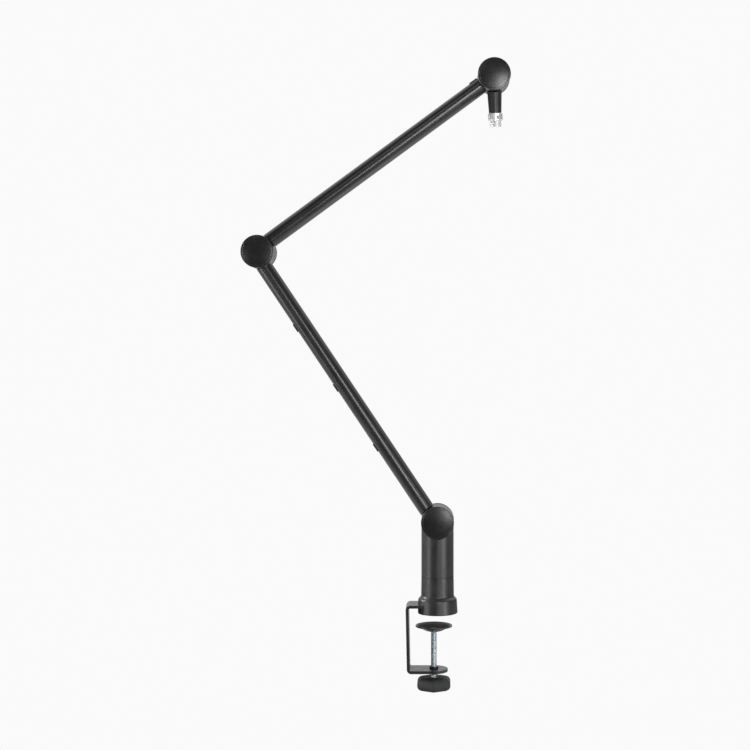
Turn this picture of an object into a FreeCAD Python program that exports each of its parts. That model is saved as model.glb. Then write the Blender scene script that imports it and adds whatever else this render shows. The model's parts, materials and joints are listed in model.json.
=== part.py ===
"""Microphone boom arm: a desk clamp, a swivel post, two tube arms on half-lap hinges and a mic mount.

Millimetres, +Z up. The origin is on the post's axis, in the plane of the desk top. The arms move in the
XZ plane, their hinge axes run along Y, and -Y is the front.
"""
import FreeCAD
import Part
import Sketcher
import math
import os
import re

# Driving dimensions: alias, value, meaning.
SIZES = [
    ("lower_arm_length", 440, "base hinge axis to elbow hinge axis, along the tube"),
    ("upper_arm_length", 400, "elbow hinge axis to tip hinge axis, along the tube"),
    ("lower_arm_lean", -33.77, "degrees from upright, towards +X"),
    ("upper_arm_lean", 53.73, "degrees from upright, towards +X"),
    ("mic_mount_lean", 178, "degrees from upright, so the mount hangs down"),
    ("base_hinge_height", 125, "base hinge axis above the desk top"),
    ("tube_diameter", 22, "arm tube, outside"),
    ("tube_wall", 1.5, "arm tube wall"),
    ("base_offset", 3.3, "lower tube's axis to the base hinge axis, towards the arm's outer side"),
    ("lower_elbow_offset", 4.6, "lower tube's axis to the elbow hinge axis, towards the outer side"),
    ("upper_elbow_offset", 3.8, "upper tube's axis to the elbow hinge axis, towards the outer side"),
    ("tip_offset", 0.1, "upper tube's axis to the tip hinge axis, towards the outer side"),
    ("spigot_length", 40, "knuckle spigot inside the tube"),
    ("spigot_bore", 10, "bore up the spigot"),
    ("spigot_root", 3, "solid length of spigot next to the hub"),
    ("fit_clearance", 0.05, "radial gap of a seated fit"),
    ("running_clearance", 0.05, "radial gap of a turning fit"),
    ("hub_diameter", 43.6, "hinge hub"),
    ("hub_web", 3.5, "wall between the spring pocket and the counterbore"),
    ("hub_clearance", 1.5, "tube end to the facing hub"),
    ("parting_gap", 0.5, "gap between the two halves of a hinge"),
    ("counterbore_diameter", 26, "pocket for the bolt head or nut"),
    ("counterbore_room", 2, "depth of the pocket beyond the bolt's end"),
    ("spring_clearance", 0.75, "torsion spring to the walls of its pocket"),
    ("cap_overhang", 0.5, "hinge cap beyond the hub"),
    ("cap_edge", 3, "hinge cap thickness at its edge"),
    ("cap_dome", 1.5, "rise of the cap's crown"),
    ("cap_round", 2, "round at the cap's edge"),
    ("cap_groove_height", 0.6, "shadow groove under the cap"),
    ("cap_groove_depth", 0.8, "shadow groove under the cap"),
    ("cap_plug_depth", 3, "ring that snaps into the counterbore"),
    ("cap_plug_wall", 2, "ring that snaps into the counterbore"),
    ("hinge_bolt_diameter", 8, "hinge axle bolt"),
    ("hinge_bolt_tail", 0.3, "bolt end beyond the nut"),
    ("hinge_head_flats", 13, "bolt head and nut across flats"),
    ("hinge_head_height", 5.3, "bolt head"),
    ("hinge_nut_height", 5, "lock nut"),
    ("disc_spring_diameter", 18, "disc spring under the nut"),
    ("disc_spring_height", 1.2, "disc spring under the nut, pressed"),
    ("friction_ring_margin", 1.3, "friction ring inside the hub's rim and outside the spring pocket"),
    ("friction_ring_thickness", 0.4, "friction ring between the hinge halves"),
    ("torsion_coil_diameter", 23, "torsion spring, middle of the wire"),
    ("torsion_wire", 3, "torsion spring wire"),
    ("torsion_pitch", 3.5, "torsion spring rise in one turn"),
    ("torsion_turns", 3, "torsion spring turns"),
    ("grub_diameter", 5, "grub screw"),
    ("grub_length", 3.4, "grub screw in an arm"),
    ("post_grub_length", 7, "grub screw in the post"),
    ("grub_sunk", 0.4, "grub screw end below the surface"),
    ("grub_socket", 2.5, "grub screw socket across flats"),
    ("grub_socket_depth", 1.8, "grub screw socket"),
    ("grub_distance", 45, "grub screw to hinge axis, along the arm"),
    ("clip_length", 12, "cable clip along the arm"),
    ("clip_height", 1.3, "cable clip above the tube"),
    ("clip_width", 9, "cable clip across the tube"),
    ("clip_stem_diameter", 4, "clip stem through the tube wall"),
    ("first_clip", 130, "base hinge axis to first clip"),
    ("clip_pitch", 98, "clip to clip"),
    ("tip_clip_distance", 27, "tip clip to tip hinge axis"),
    ("post_diameter", 44, "swivel post"),
    ("post_wall", 4, "swivel post wall"),
    ("post_roof", 4, "solid left under the hinge saddle"),
    ("saddle_clearance", 0.4, "post saddle to the arm's hub, and post to its cap"),
    ("seam_height", 50, "swivel seam above the desk top"),
    ("seam_gap", 0.8, "swivel seam"),
    ("bearing_height", 9.6, "swivel bearing"),
    ("spindle_diameter", 10, "swivel spindle"),
    ("spindle_head_flats", 17, "spindle head and nut across flats"),
    ("spindle_head_height", 5.5, "spindle head"),
    ("spindle_tail", 2, "spindle end beyond its nut"),
    ("swivel_nut_height", 8, "swivel lock nut"),
    ("swivel_spring_diameter", 22, "disc spring under the swivel nut"),
    ("swivel_spring_height", 1.6, "disc spring under the swivel nut"),
    ("swivel_washer_margin", 1, "sliding washer inside the post's outside"),
    ("swivel_washer_thickness", 0.7, "sliding washer in the seam"),
    ("sleeve_taper", 0.4, "collar's sleeve, wider at its foot than the post"),
    ("flare_spread", 4, "collar's shoulder beyond the sleeve"),
    ("foot_taper", 0.9, "collar's foot beyond its shoulder"),
    ("collar_foot_gap", 0.3, "collar rim above the desk top"),
    ("collar_foot_round", 1, "round at the foot of the collar"),
    ("foot_wall", 2.7, "collar wall around the pad"),
    ("flare_bottom", 17.5, "lower end of the collar's flare"),
    ("flare_top", 25, "upper end of the collar's flare"),
    ("collar_core_diameter", 20, "collar core around the spindle"),
    ("collar_floor", 4, "collar plate above the strap"),
    ("sleeve_wall", 4, "collar wall above the flare"),
    ("pad_clearance", 0.6, "rubber desk pad to the collar, and its tongue inside the collar's outside"),
    ("strap_width", 38, "clamp strap"),
    ("strap_thickness", 4, "clamp strap"),
    ("strap_reach", 41.4, "strap's outer face at the lower bend to the post's axis"),
    ("strap_splay", 1.6, "upper bend further out than the lower one"),
    ("strap_top", 13, "top of the upper leg above the desk top"),
    ("strap_drop", 75.5, "top of the lower leg below the desk top"),
    ("strap_bend", 2, "inner bend radius of the strap"),
    ("strap_tongue", 20, "upper leg beyond the post's axis"),
    ("strap_clearance", 0.3, "strap to the collar"),
    ("screw_offset", 5, "clamp screw axis to the post's axis"),
    ("screw_diameter", 8, "clamp screw"),
    ("screw_neck_diameter", 6, "screw neck through the pressure plate"),
    ("screw_rivet_diameter", 11, "peened screw end"),
    ("screw_rivet_height", 1.8, "peened screw end"),
    ("clamp_nut_diameter", 12, "threaded bush, collar"),
    ("clamp_nut_rise", 3, "threaded bush above the lower leg"),
    ("clamp_nut_body", 10, "threaded bush through the lower leg"),
    ("jaw_gap", 16.5, "desk top to the pressure plate's rim"),
    ("plate_diameter", 50, "pressure plate"),
    ("plate_thickness", 1.5, "pressure plate sheet"),
    ("plate_brim_inner", 36, "inside of the plate's brim"),
    ("plate_brim_drop", 1.2, "fall of the brim"),
    ("plate_floor_diameter", 21, "plate's flat middle"),
    ("plate_bowl_drop", 5.3, "fall of the bowl inside the brim"),
    ("plate_play", 0.15, "play of the plate on the screw neck"),
    ("knob_flats", 45, "knob across flats"),
    ("knob_corner_trim", 1, "taken off the knob's corners"),
    ("knob_height", 17, "knob"),
    ("knob_round", 6.5, "round at the knob's top and bottom edges"),
    ("knob_gap", 8, "lower leg's underside to the knob"),
    ("screw_in_knob", 12, "screw inside the knob"),
    ("stub_length", 51, "tip hinge axis to the stub's end"),
    ("stub_root_diameter", 19.5, "mic mount stub at the hub"),
    ("stub_end_diameter", 17, "mic mount stub at its end"),
    ("stub_shoulder", 2.7, "hub rim to the stub's root"),
    ("neck_diameter", 20.4, "stub where it leaves the hub"),
    ("stud_diameter", 9.5, "threaded stud, three eighths of an inch"),
    ("stud_embed", 12, "stud inside the stub"),
    ("stud_reach", 15, "stud beyond the stub"),
    ("adapter_flange_diameter", 20, "thread adapter flange"),
    ("adapter_flange_length", 9.3, "thread adapter flange"),
    ("adapter_chamfer", 0.8, "thread adapter edges"),
    ("adapter_thread_diameter", 15.875, "thread adapter, five eighths of an inch"),
    ("adapter_thread_length", 9, "thread adapter"),
]
ALIASES = {alias for alias, _, _ in SIZES}
CLIP_COUNT = 3  # on the lower arm
HEX_SIDES = 6
SLAB_TURNS = (0, 60, 120)

X_AXIS = FreeCAD.Vector(1, 0, 0)
Y_AXIS = FreeCAD.Vector(0, 1, 0)
Z_AXIS = FreeCAD.Vector(0, 0, 1)
UPRIGHT = FreeCAD.Rotation()
TO_BACK = FreeCAD.Rotation(X_AXIS, -90)
TO_FRONT = FreeCAD.Rotation(X_AXIS, 90)
TO_RIGHT = FreeCAD.Rotation(Y_AXIS, 90)

doc = FreeCAD.newDocument("MicrophoneBoomArm")
sheet = doc.addObject("Spreadsheet::Sheet", "Sizes")
for row, (alias, size, meaning) in enumerate(SIZES, start=1):
    sheet.set(f"A{row}", meaning)
    sheet.set(f"B{row}", str(size))
    sheet.setAlias(f"B{row}", alias)
doc.recompute()

sub_parts = []


# Expressions and placement.

def from_sheet(text):
    """Turns plain alias words in an expression into references to the spreadsheet."""
    return re.sub(r"[a-z_]\w*", lambda m: f"Sizes.{m[0]}" if m[0] in ALIASES else m[0], text)


def number(text):
    """The present value of an expression, as a plain number."""
    value = sheet.evalExpression(from_sheet(text))
    return float(getattr(value, "Value", value))


def bind(item, **expressions):
    """Binds properties of a document object to expressions of the sheet's sizes."""
    for name, text in expressions.items():
        item.setExpression(name, from_sheet(text))
    return item


def place(item, at=("0", "0", "0"), rotation=UPRIGHT):
    """Fixes an object's rotation and binds its position."""
    item.Placement = FreeCAD.Placement(FreeCAD.Vector(), rotation)
    for axis, text in zip("xyz", at):
        item.setExpression(f"Placement.Base.{axis}", from_sheet(text))
    return item


def lean(item, at, angle):
    """Leans an object about Y by a bound angle and binds its position."""
    place(item, at, FreeCAD.Rotation(Y_AXIS, number(angle)))
    item.setExpression("Placement.Rotation.Angle", from_sheet(angle))
    return item


# Solids from primitives and booleans.

def cylinder(name, radius, length, at=("0", "0", "0"), rotation=UPRIGHT):
    item = doc.addObject("Part::Cylinder", name)
    bind(item, Radius=radius, Height=length)
    return place(item, at, rotation)


def cone(name, radius_1, radius_2, length, at=("0", "0", "0")):
    item = doc.addObject("Part::Cone", name)
    bind(item, Radius1=radius_1, Radius2=radius_2, Height=length)
    return place(item, at)


def box(name, size, at):
    item = doc.addObject("Part::Box", name)
    bind(item, Length=size[0], Width=size[1], Height=size[2])
    return place(item, at)


def hex_prism(name, flats, length, at=("0", "0", "0"), rotation=UPRIGHT):
    item = doc.addObject("Part::Prism", name)
    item.Polygon = HEX_SIDES
    bind(item, Circumradius=f"{flats} / 2 / cos(30)", Height=length)
    return place(item, at, rotation)


def fuse(name, *shapes):
    item = doc.addObject("Part::MultiFuse", name)
    item.Shapes = list(shapes)
    return item


def common(name, *shapes):
    item = doc.addObject("Part::MultiCommon", name)
    item.Shapes = list(shapes)
    return item


def cut(name, base, *tools):
    item = doc.addObject("Part::Cut", name)
    item.Base = base
    item.Tool = tools[0] if len(tools) == 1 else fuse(f"{name}_cutters", *tools)
    return item


def group(name, solids):
    item = doc.addObject("Part::Compound", name)
    item.Links = solids
    return item


def ring(name, outer, inner, length, at=("0", "0", "0"), rotation=UPRIGHT):
    """A flat ring or a sleeve, from its outer and inner radius."""
    item = cut(name, cylinder(f"{name}_outside", outer, length), cylinder(f"{name}_hole", inner, length))
    return place(item, at, rotation)


def finish(item, label):
    """Names a finished sub-part."""
    item.Label = label
    sub_parts.append(item)
    return item


# Solids from sketches.

def bound_point(sketch, geometry, end, spot):
    """Ties one point of a sketch to a pair of expressions, measured from the sketch's origin."""
    for kind, axis, text in (("DistanceX", -2, spot[0]), ("DistanceY", -1, spot[1])):
        if text == "0":
            sketch.addConstraint(Sketcher.Constraint("PointOnObject", geometry, end, axis))
        elif text is not None:
            index = sketch.addConstraint(Sketcher.Constraint(kind, -1, 1, geometry, end, number(text)))
            sketch.setExpression(f"Constraints[{index}]", from_sheet(text))


def arc_between(first, last, centre_x):
    """An arc under half a turn, about a centre of known x, and whether it runs from last to first."""
    rise = (first.x - centre_x) ** 2 - (last.x - centre_x) ** 2 + first.y ** 2 - last.y ** 2
    centre = FreeCAD.Vector(centre_x, rise / (2 * (first.y - last.y)), 0)
    to_first = first - centre
    to_last = last - centre
    backwards = to_first.cross(to_last).z < 0
    start, stop = (to_last, to_first) if backwards else (to_first, to_last)
    start_angle = math.atan2(start.y, start.x)
    sweep = math.acos(start.dot(stop) / start.Length / stop.Length)
    circle = Part.Circle(centre, Z_AXIS, to_first.Length)
    return Part.ArcOfCircle(circle, start_angle, start_angle + sweep), backwards


def outline(body, name, points):
    """A closed sketch on the body's XZ plane.

    Each point is (x, z), and a third expression makes the stretch after it an arc whose centre has that x.
    """
    sketch = body.newObject("Sketcher::SketchObject", name)
    plane = next(item for item in body.Origin.OriginFeatures if item.Role == "XZ_Plane")
    sketch.AttachmentSupport = [(plane, "")]
    sketch.MapMode = "FlatFace"
    spots = [FreeCAD.Vector(number(point[0]), number(point[1]), 0) for point in points]
    ends = []
    for index, point in enumerate(points):
        first, last = spots[index], spots[(index + 1) % len(spots)]
        if len(point) == 3:
            arc, backwards = arc_between(first, last, number(point[2]))
            geometry = sketch.addGeometry(arc, False)
            ends.append((geometry, 2, 1) if backwards else (geometry, 1, 2))
        else:
            geometry = sketch.addGeometry(Part.LineSegment(first, last), False)
            ends.append((geometry, 1, 2))
    for this, following in zip(ends, ends[1:] + ends[:1]):
        sketch.addConstraint(Sketcher.Constraint("Coincident", this[0], this[2], following[0], following[1]))
    for point, (geometry, start, _) in zip(points, ends):
        bound_point(sketch, geometry, start, point[:2])
        if len(point) == 3:
            bound_point(sketch, geometry, 3, (point[2], None))
    return sketch


def turned(name, points, at=("0", "0", "0"), rotation=UPRIGHT):
    """A solid of revolution from (radius, height) points, about the body's own Z axis."""
    body = doc.addObject("PartDesign::Body", name)
    sketch = outline(body, f"{name}_profile", points)
    revolution = body.newObject("PartDesign::Revolution", f"{name}_turn")
    revolution.Profile = sketch
    revolution.ReferenceAxis = (sketch, ["V_Axis"])
    return place(body, at, rotation)


def plate(name, points, width, at=("0", "0", "0"), rotation=UPRIGHT):
    """An outline in XZ padded to a width, half to each side."""
    body = doc.addObject("PartDesign::Body", name)
    pad = body.newObject("PartDesign::Pad", f"{name}_pad")
    pad.Profile = outline(body, f"{name}_outline", points)
    pad.SideType = "Symmetric"
    bind(pad, Length=width)
    return place(body, at, rotation)


# Places shared by several sub-parts.

ELBOW_SHIFT = "(lower_elbow_offset - base_offset)"
TIP_SHIFT = "(tip_offset - upper_elbow_offset)"
ELBOW_X = f"lower_arm_length * sin(lower_arm_lean) + {ELBOW_SHIFT} * cos(lower_arm_lean)"
ELBOW_Z = (
    f"base_hinge_height + lower_arm_length * cos(lower_arm_lean) - {ELBOW_SHIFT} * sin(lower_arm_lean)"
)
TIP_X = f"{ELBOW_X} + upper_arm_length * sin(upper_arm_lean) + {TIP_SHIFT} * cos(upper_arm_lean)"
TIP_Z = f"{ELBOW_Z} + upper_arm_length * cos(upper_arm_lean) - {TIP_SHIFT} * sin(upper_arm_lean)"
BASE = ("0", "0", "base_hinge_height")
ELBOW = (ELBOW_X, "0", ELBOW_Z)
TIP = (TIP_X, "0", TIP_Z)

HUB_RADIUS = "hub_diameter / 2"
TUBE_RADIUS = "tube_diameter / 2"
TUBE_BORE = "tube_diameter / 2 - tube_wall"
SPIGOT_RADIUS = f"{TUBE_BORE} - fit_clearance"
HUB_SPACE = f"{HUB_RADIUS} + hub_clearance"
HALF_GAP = "parting_gap / 2"
COIL_HEIGHT = "torsion_pitch * torsion_turns"
POCKET_INNER = "(torsion_coil_diameter - torsion_wire) / 2 - spring_clearance"
POCKET_OUTER = "(torsion_coil_diameter + torsion_wire) / 2 + spring_clearance"
POCKET_DEPTH = f"(({COIL_HEIGHT} + torsion_wire) / 2 + spring_clearance - {HALF_GAP})"
COUNTERBORE_DEPTH = "disc_spring_height + hinge_nut_height + hinge_bolt_tail + counterbore_room"
BOLT_SEAT = f"({HALF_GAP} + {POCKET_DEPTH} + hub_web)"
CAP_SEAT = f"({BOLT_SEAT} + {COUNTERBORE_DEPTH})"
CAP_RADIUS = f"{HUB_RADIUS} + cap_overhang"
BOLT_BORE = "hinge_bolt_diameter / 2 + running_clearance"
GRUB_HOLE = "grub_diameter / 2 + fit_clearance"
THROUGH = f"({CAP_SEAT} + tube_diameter + post_diameter)"


# Hinge hubs. A back half lies behind the hinge's centre plane, a front half in front of it.

def half_axis(back):
    """The rotation and the sign of Y of a hinge half, pointing away from the centre plane."""
    return (TO_BACK, "1") if back else (TO_FRONT, "-1")


def hub_disc(name, back, x="0", z="0"):
    """The round half of a hinge hub."""
    rotation, sign = half_axis(back)
    face = (x, f"{sign} * {HALF_GAP}", z)
    return cylinder(name, HUB_RADIUS, f"{CAP_SEAT} - {HALF_GAP}", face, rotation)


def hub_cutters(name, back, sprung, x="0", z="0"):
    """Cutters for the bolt bore, the head or nut pocket and the spring pocket of one hinge half."""
    rotation, sign = half_axis(back)
    seat = (x, f"{sign} * {BOLT_SEAT}", z)
    face = (x, f"{sign} * {HALF_GAP}", z)
    cutters = [
        cylinder(f"{name}_bolt_bore", BOLT_BORE, THROUGH, (x, "0", z), rotation),
        cylinder(f"{name}_counterbore", "counterbore_diameter / 2", THROUGH, seat, rotation),
    ]
    if sprung:
        pocket = ring(f"{name}_spring_pocket", POCKET_OUTER, POCKET_INNER, POCKET_DEPTH, face, rotation)
        cutters.append(pocket)
    return cutters


def facing_space(name, back, x="0", z="0"):
    """The room that the facing half of the hinge turns in."""
    rotation, sign = half_axis(not back)
    start = f"-({sign}) * {HALF_GAP}"
    return cylinder(name, HUB_SPACE, THROUGH, (x, start, z), rotation)


# Hinge hardware, the same at all three hinges.

def hinge_cap(label, spot, back):
    """A domed cap with a shadow groove under its edge and a ring that snaps into the counterbore."""
    rotation, sign = half_axis(back)
    plug = "counterbore_diameter / 2 - fit_clearance"
    rim = CAP_RADIUS
    groove = f"{rim} - cap_groove_depth"
    points = [
        ("0", "cap_groove_height"),
        (f"{plug} - cap_plug_wall", "cap_groove_height"),
        (f"{plug} - cap_plug_wall", "-cap_plug_depth"),
        (plug, "-cap_plug_depth"),
        (plug, "0"),
        (groove, "0"),
        (groove, "cap_groove_height"),
        (rim, "cap_groove_height"),
        (rim, "cap_edge - cap_round", f"{rim} - cap_round"),
        (f"{rim} - cap_round", "cap_edge", "0"),
        ("0", "cap_edge + cap_dome"),
    ]
    seat = (spot[0], f"{sign} * {CAP_SEAT}", spot[2])
    return finish(turned(label, points, seat, rotation), label)


def hinge_bolt(label, spot):
    """A hex bolt whose head lies in the front half and whose end carries the nut in the back half."""
    length = f"2 * {BOLT_SEAT} + disc_spring_height + hinge_nut_height + hinge_bolt_tail"
    shank = cylinder(f"{label}_shank", "hinge_bolt_diameter / 2", length)
    under_head = ("0", "0", "-hinge_head_height")
    head = hex_prism(f"{label}_head", "hinge_head_flats", "hinge_head_height", under_head)
    bolt = fuse(label, shank, head)
    return finish(place(bolt, (spot[0], f"-{BOLT_SEAT}", spot[2]), TO_BACK), label)


def hinge_nut(label, spot):
    """The lock nut on the bolt, over the disc spring."""
    nut = cut(
        label,
        hex_prism(f"{label}_hex", "hinge_head_flats", "hinge_nut_height"),
        cylinder(f"{label}_thread", "hinge_bolt_diameter / 2", "hinge_nut_height"),
    )
    return finish(place(nut, (spot[0], f"{BOLT_SEAT} + disc_spring_height", spot[2]), TO_BACK), label)


def torsion_spring(label, spot):
    """The counterbalance spring, a few turns of wire round the bolt, half in each hinge half."""
    coil_radius = "torsion_coil_diameter / 2"
    helix = doc.addObject("Part::Helix", f"{label}_path")
    bind(helix, Pitch="torsion_pitch", Height=COIL_HEIGHT, Radius=coil_radius)
    wire = doc.addObject("Part::Circle", f"{label}_wire")
    bind(wire, Radius="torsion_wire / 2")
    place(wire, (coil_radius, "0", "0"), FreeCAD.Rotation(X_AXIS, 90))
    sweep = doc.addObject("Part::Sweep", label)
    sweep.Sections = [wire]
    sweep.Spine = (helix, [])
    sweep.Solid = True
    sweep.Frenet = True
    return finish(place(sweep, (spot[0], f"-{COIL_HEIGHT} / 2", spot[2]), TO_BACK), label)


def hinge_hardware(hinge, spot, sprung):
    """Bolt, nut, disc spring, friction ring, caps and, where it is sprung, the counterbalance spring."""
    hinge_bolt(f"{hinge}_hinge_bolt", spot)
    hinge_nut(f"{hinge}_hinge_nut", spot)
    disc = ring(
        f"{hinge}_disc_spring",
        "disc_spring_diameter / 2",
        BOLT_BORE,
        "disc_spring_height",
        (spot[0], BOLT_SEAT, spot[2]),
        TO_BACK,
    )
    finish(disc, f"{hinge}_disc_spring")
    friction = ring(
        f"{hinge}_friction_ring",
        f"{HUB_RADIUS} - friction_ring_margin",
        f"{POCKET_OUTER} + friction_ring_margin",
        "friction_ring_thickness",
        (spot[0], "-friction_ring_thickness / 2", spot[2]),
        TO_BACK,
    )
    finish(friction, f"{hinge}_friction_ring")
    hinge_cap(f"{hinge}_front_cap", spot, back=False)
    hinge_cap(f"{hinge}_rear_cap", spot, back=True)
    if sprung:
        torsion_spring(f"{hinge}_torsion_spring", spot)


# Arms. Each is drawn with its tube upright, from its lower hinge, then leaned into its rest place. tube_x is
# the place of the tube's axis.

def grub_cutter(name, tube_x, along):
    """A tapped hole in the back of an arm."""
    return cylinder(name, GRUB_HOLE, THROUGH, (tube_x, "0", along), TO_BACK)


def grub_screw(name, surface, length, x, z):
    """A grub screw from the back, sunk below a surface at a given Y."""
    blank = cylinder(f"{name}_blank", "grub_diameter / 2", length)
    bottom = ("0", "0", f"{length} - grub_socket_depth")
    socket = hex_prism(f"{name}_socket", "grub_socket", "grub_socket_depth", bottom)
    return place(cut(name, blank, socket), (x, f"{surface} - grub_sunk - {length}", z), TO_BACK)


def arm_tube(label, tube_x, length, hinges, grubs, clips):
    """A round tube whose ends are hollowed to clear the hinge hubs."""
    outside = cylinder(f"{label}_outside", TUBE_RADIUS, length, (tube_x, "0", "0"))
    cutters = [cylinder(f"{label}_bore", TUBE_BORE, length, (tube_x, "0", "0"))]
    for index, (hinge_x, hinge_z) in enumerate(hinges):
        middle = (hinge_x, f"-{THROUGH} / 2", hinge_z)
        cutters.append(cylinder(f"{label}_hub_space_{index}", HUB_SPACE, THROUGH, middle, TO_BACK))
    cutters += [grub_cutter(f"{label}_grub_hole_{index}", tube_x, along) for index, along in enumerate(grubs)]
    cutters += [clip_hole(f"{label}_clip_hole_{index}", tube_x, along) for index, along in enumerate(clips)]
    return cut(label, outside, *cutters)


def knuckle(label, tube_x, hinge, inward, back, sprung, grub_at):
    """Half a hinge hub with a spigot that fills the end of the arm's tube.

    inward is 1 where the arm runs up from the hinge, and -1 where it runs down.
    """
    hinge_x, hinge_z = hinge
    reach = f"{HUB_SPACE} + spigot_length"
    spigot_z = hinge_z if inward == 1 else f"{hinge_z} - ({reach})"
    bore_length = "spigot_length - spigot_root"
    bore_z = f"{hinge_z} + {HUB_SPACE} + spigot_root" if inward == 1 else spigot_z
    blank = fuse(
        f"{label}_blank",
        hub_disc(f"{label}_disc", back, hinge_x, hinge_z),
        cylinder(f"{label}_spigot", SPIGOT_RADIUS, reach, (tube_x, "0", spigot_z)),
    )
    return cut(
        label,
        blank,
        facing_space(f"{label}_facing_space", back, hinge_x, hinge_z),
        cylinder(f"{label}_spigot_bore", "spigot_bore / 2", bore_length, (tube_x, "0", bore_z)),
        grub_cutter(f"{label}_grub_hole", tube_x, grub_at),
        *hub_cutters(label, back, sprung, hinge_x, hinge_z),
    )


def arm(prefix, length, angle, spot, offset, head_shift, head_sprung, clips):
    """One arm: tube, back half hub at its root, front half hub at its head, two grub screws and clips.

    offset is from the tube's axis to the root hinge, and head_shift from there to the head hinge, across
    the tube.
    """
    tube_x = f"-{offset}"
    root, head = ("0", "0"), (head_shift, length)
    grubs = ("grub_distance", f"{length} - grub_distance")
    pieces = {
        f"{prefix}_tube": arm_tube(f"{prefix}_tube", tube_x, length, (root, head), grubs, clips),
        f"{prefix}_root_knuckle": knuckle(
            f"{prefix}_root_knuckle", tube_x, root, 1, True, True, grubs[0]
        ),
        f"{prefix}_head_knuckle": knuckle(
            f"{prefix}_head_knuckle", tube_x, head, -1, False, head_sprung, grubs[1]
        ),
        f"{prefix}_grub_screws": group(
            f"{prefix}_grub_screws",
            [
                grub_screw(f"{prefix}_grub_{index}", TUBE_RADIUS, "grub_length", tube_x, along)
                for index, along in enumerate(grubs)
            ],
        ),
        f"{prefix}_cable_clips": group(
            f"{prefix}_cable_clips",
            [cable_clip(f"{prefix}_clip_{index}", tube_x, along) for index, along in enumerate(clips)],
        ),
    }
    for label, piece in pieces.items():
        finish(lean(piece, spot, angle), label)


def clip_hole(name, tube_x, along):
    """Cutter for a clip's stem in the outer side of the tube's wall."""
    radius = "clip_stem_diameter / 2 + fit_clearance"
    start = f"{tube_x} - {TUBE_RADIUS} - clip_height"
    return cylinder(name, radius, TUBE_RADIUS, (start, "0", along), TO_RIGHT)


def cable_clip(name, tube_x, along):
    """A low saddle on the outer side of the tube, with a stem through the tube's wall."""
    start = f"{along} - clip_length / 2"
    outside = f"{TUBE_RADIUS} + clip_height"
    shell = ring(
        f"{name}_shell",
        outside,
        f"{TUBE_RADIUS} + fit_clearance",
        "clip_length",
        (tube_x, "0", start),
    )
    window = box(
        f"{name}_window",
        (outside, "clip_width", "clip_length"),
        (f"{tube_x} - ({outside})", "-clip_width / 2", start),
    )
    stem = cylinder(
        f"{name}_stem",
        "clip_stem_diameter / 2",
        "clip_height / 2 + tube_wall",
        (f"{tube_x} - {TUBE_RADIUS} - clip_height / 2", "0", along),
        TO_RIGHT,
    )
    return fuse(name, common(f"{name}_saddle", shell, window), stem)


# Swivel post.

POST_RADIUS = "post_diameter / 2"
POST_FOOT = "seam_height + seam_gap / 2"
POST_BORE = "post_diameter / 2 - post_wall"
SPINDLE_BORE = "spindle_diameter / 2 + running_clearance"
BEARING_MIDDLE = f"{POST_FOOT} + bearing_height / 2"
BEARING_TOP = f"{POST_FOOT} + bearing_height"


def post_grub_cutter(name):
    """A tapped hole through the back of the post and into the swivel bearing."""
    bottom = f"{POST_RADIUS} - grub_sunk - post_grub_length"
    return cylinder(name, GRUB_HOLE, THROUGH, ("0", bottom, BEARING_MIDDLE), TO_BACK)


def post_housing(label):
    """A round post with half a hinge hub on its front and a saddle behind for the arm's half."""
    column = cylinder(
        "post_column", POST_RADIUS, f"base_hinge_height - ({POST_FOOT})", ("0", "0", POST_FOOT)
    )
    blank = fuse("post_blank", column, hub_disc("post_hub", False, z="base_hinge_height"))
    saddle = cylinder(
        "post_saddle",
        f"{HUB_RADIUS} + saddle_clearance",
        THROUGH,
        ("0", f"-{HALF_GAP}", "base_hinge_height"),
        TO_BACK,
    )
    cap_seats = [
        cylinder(
            f"post_{side}_cap_seat",
            f"{CAP_RADIUS} + saddle_clearance",
            THROUGH,
            ("0", f"{sign} * {CAP_SEAT}", "base_hinge_height"),
            rotation,
        )
        for side, (rotation, sign) in (("front", half_axis(False)), ("rear", half_axis(True)))
    ]
    bore_top = f"base_hinge_height - {HUB_RADIUS} - saddle_clearance - post_roof"
    bore = cylinder("post_bore", POST_BORE, f"{bore_top} - ({POST_FOOT})", ("0", "0", POST_FOOT))
    housing = cut(
        label,
        blank,
        saddle,
        *cap_seats,
        bore,
        post_grub_cutter("post_grub_hole"),
        *hub_cutters("post", False, True, z="base_hinge_height"),
    )
    return finish(housing, label)


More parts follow.
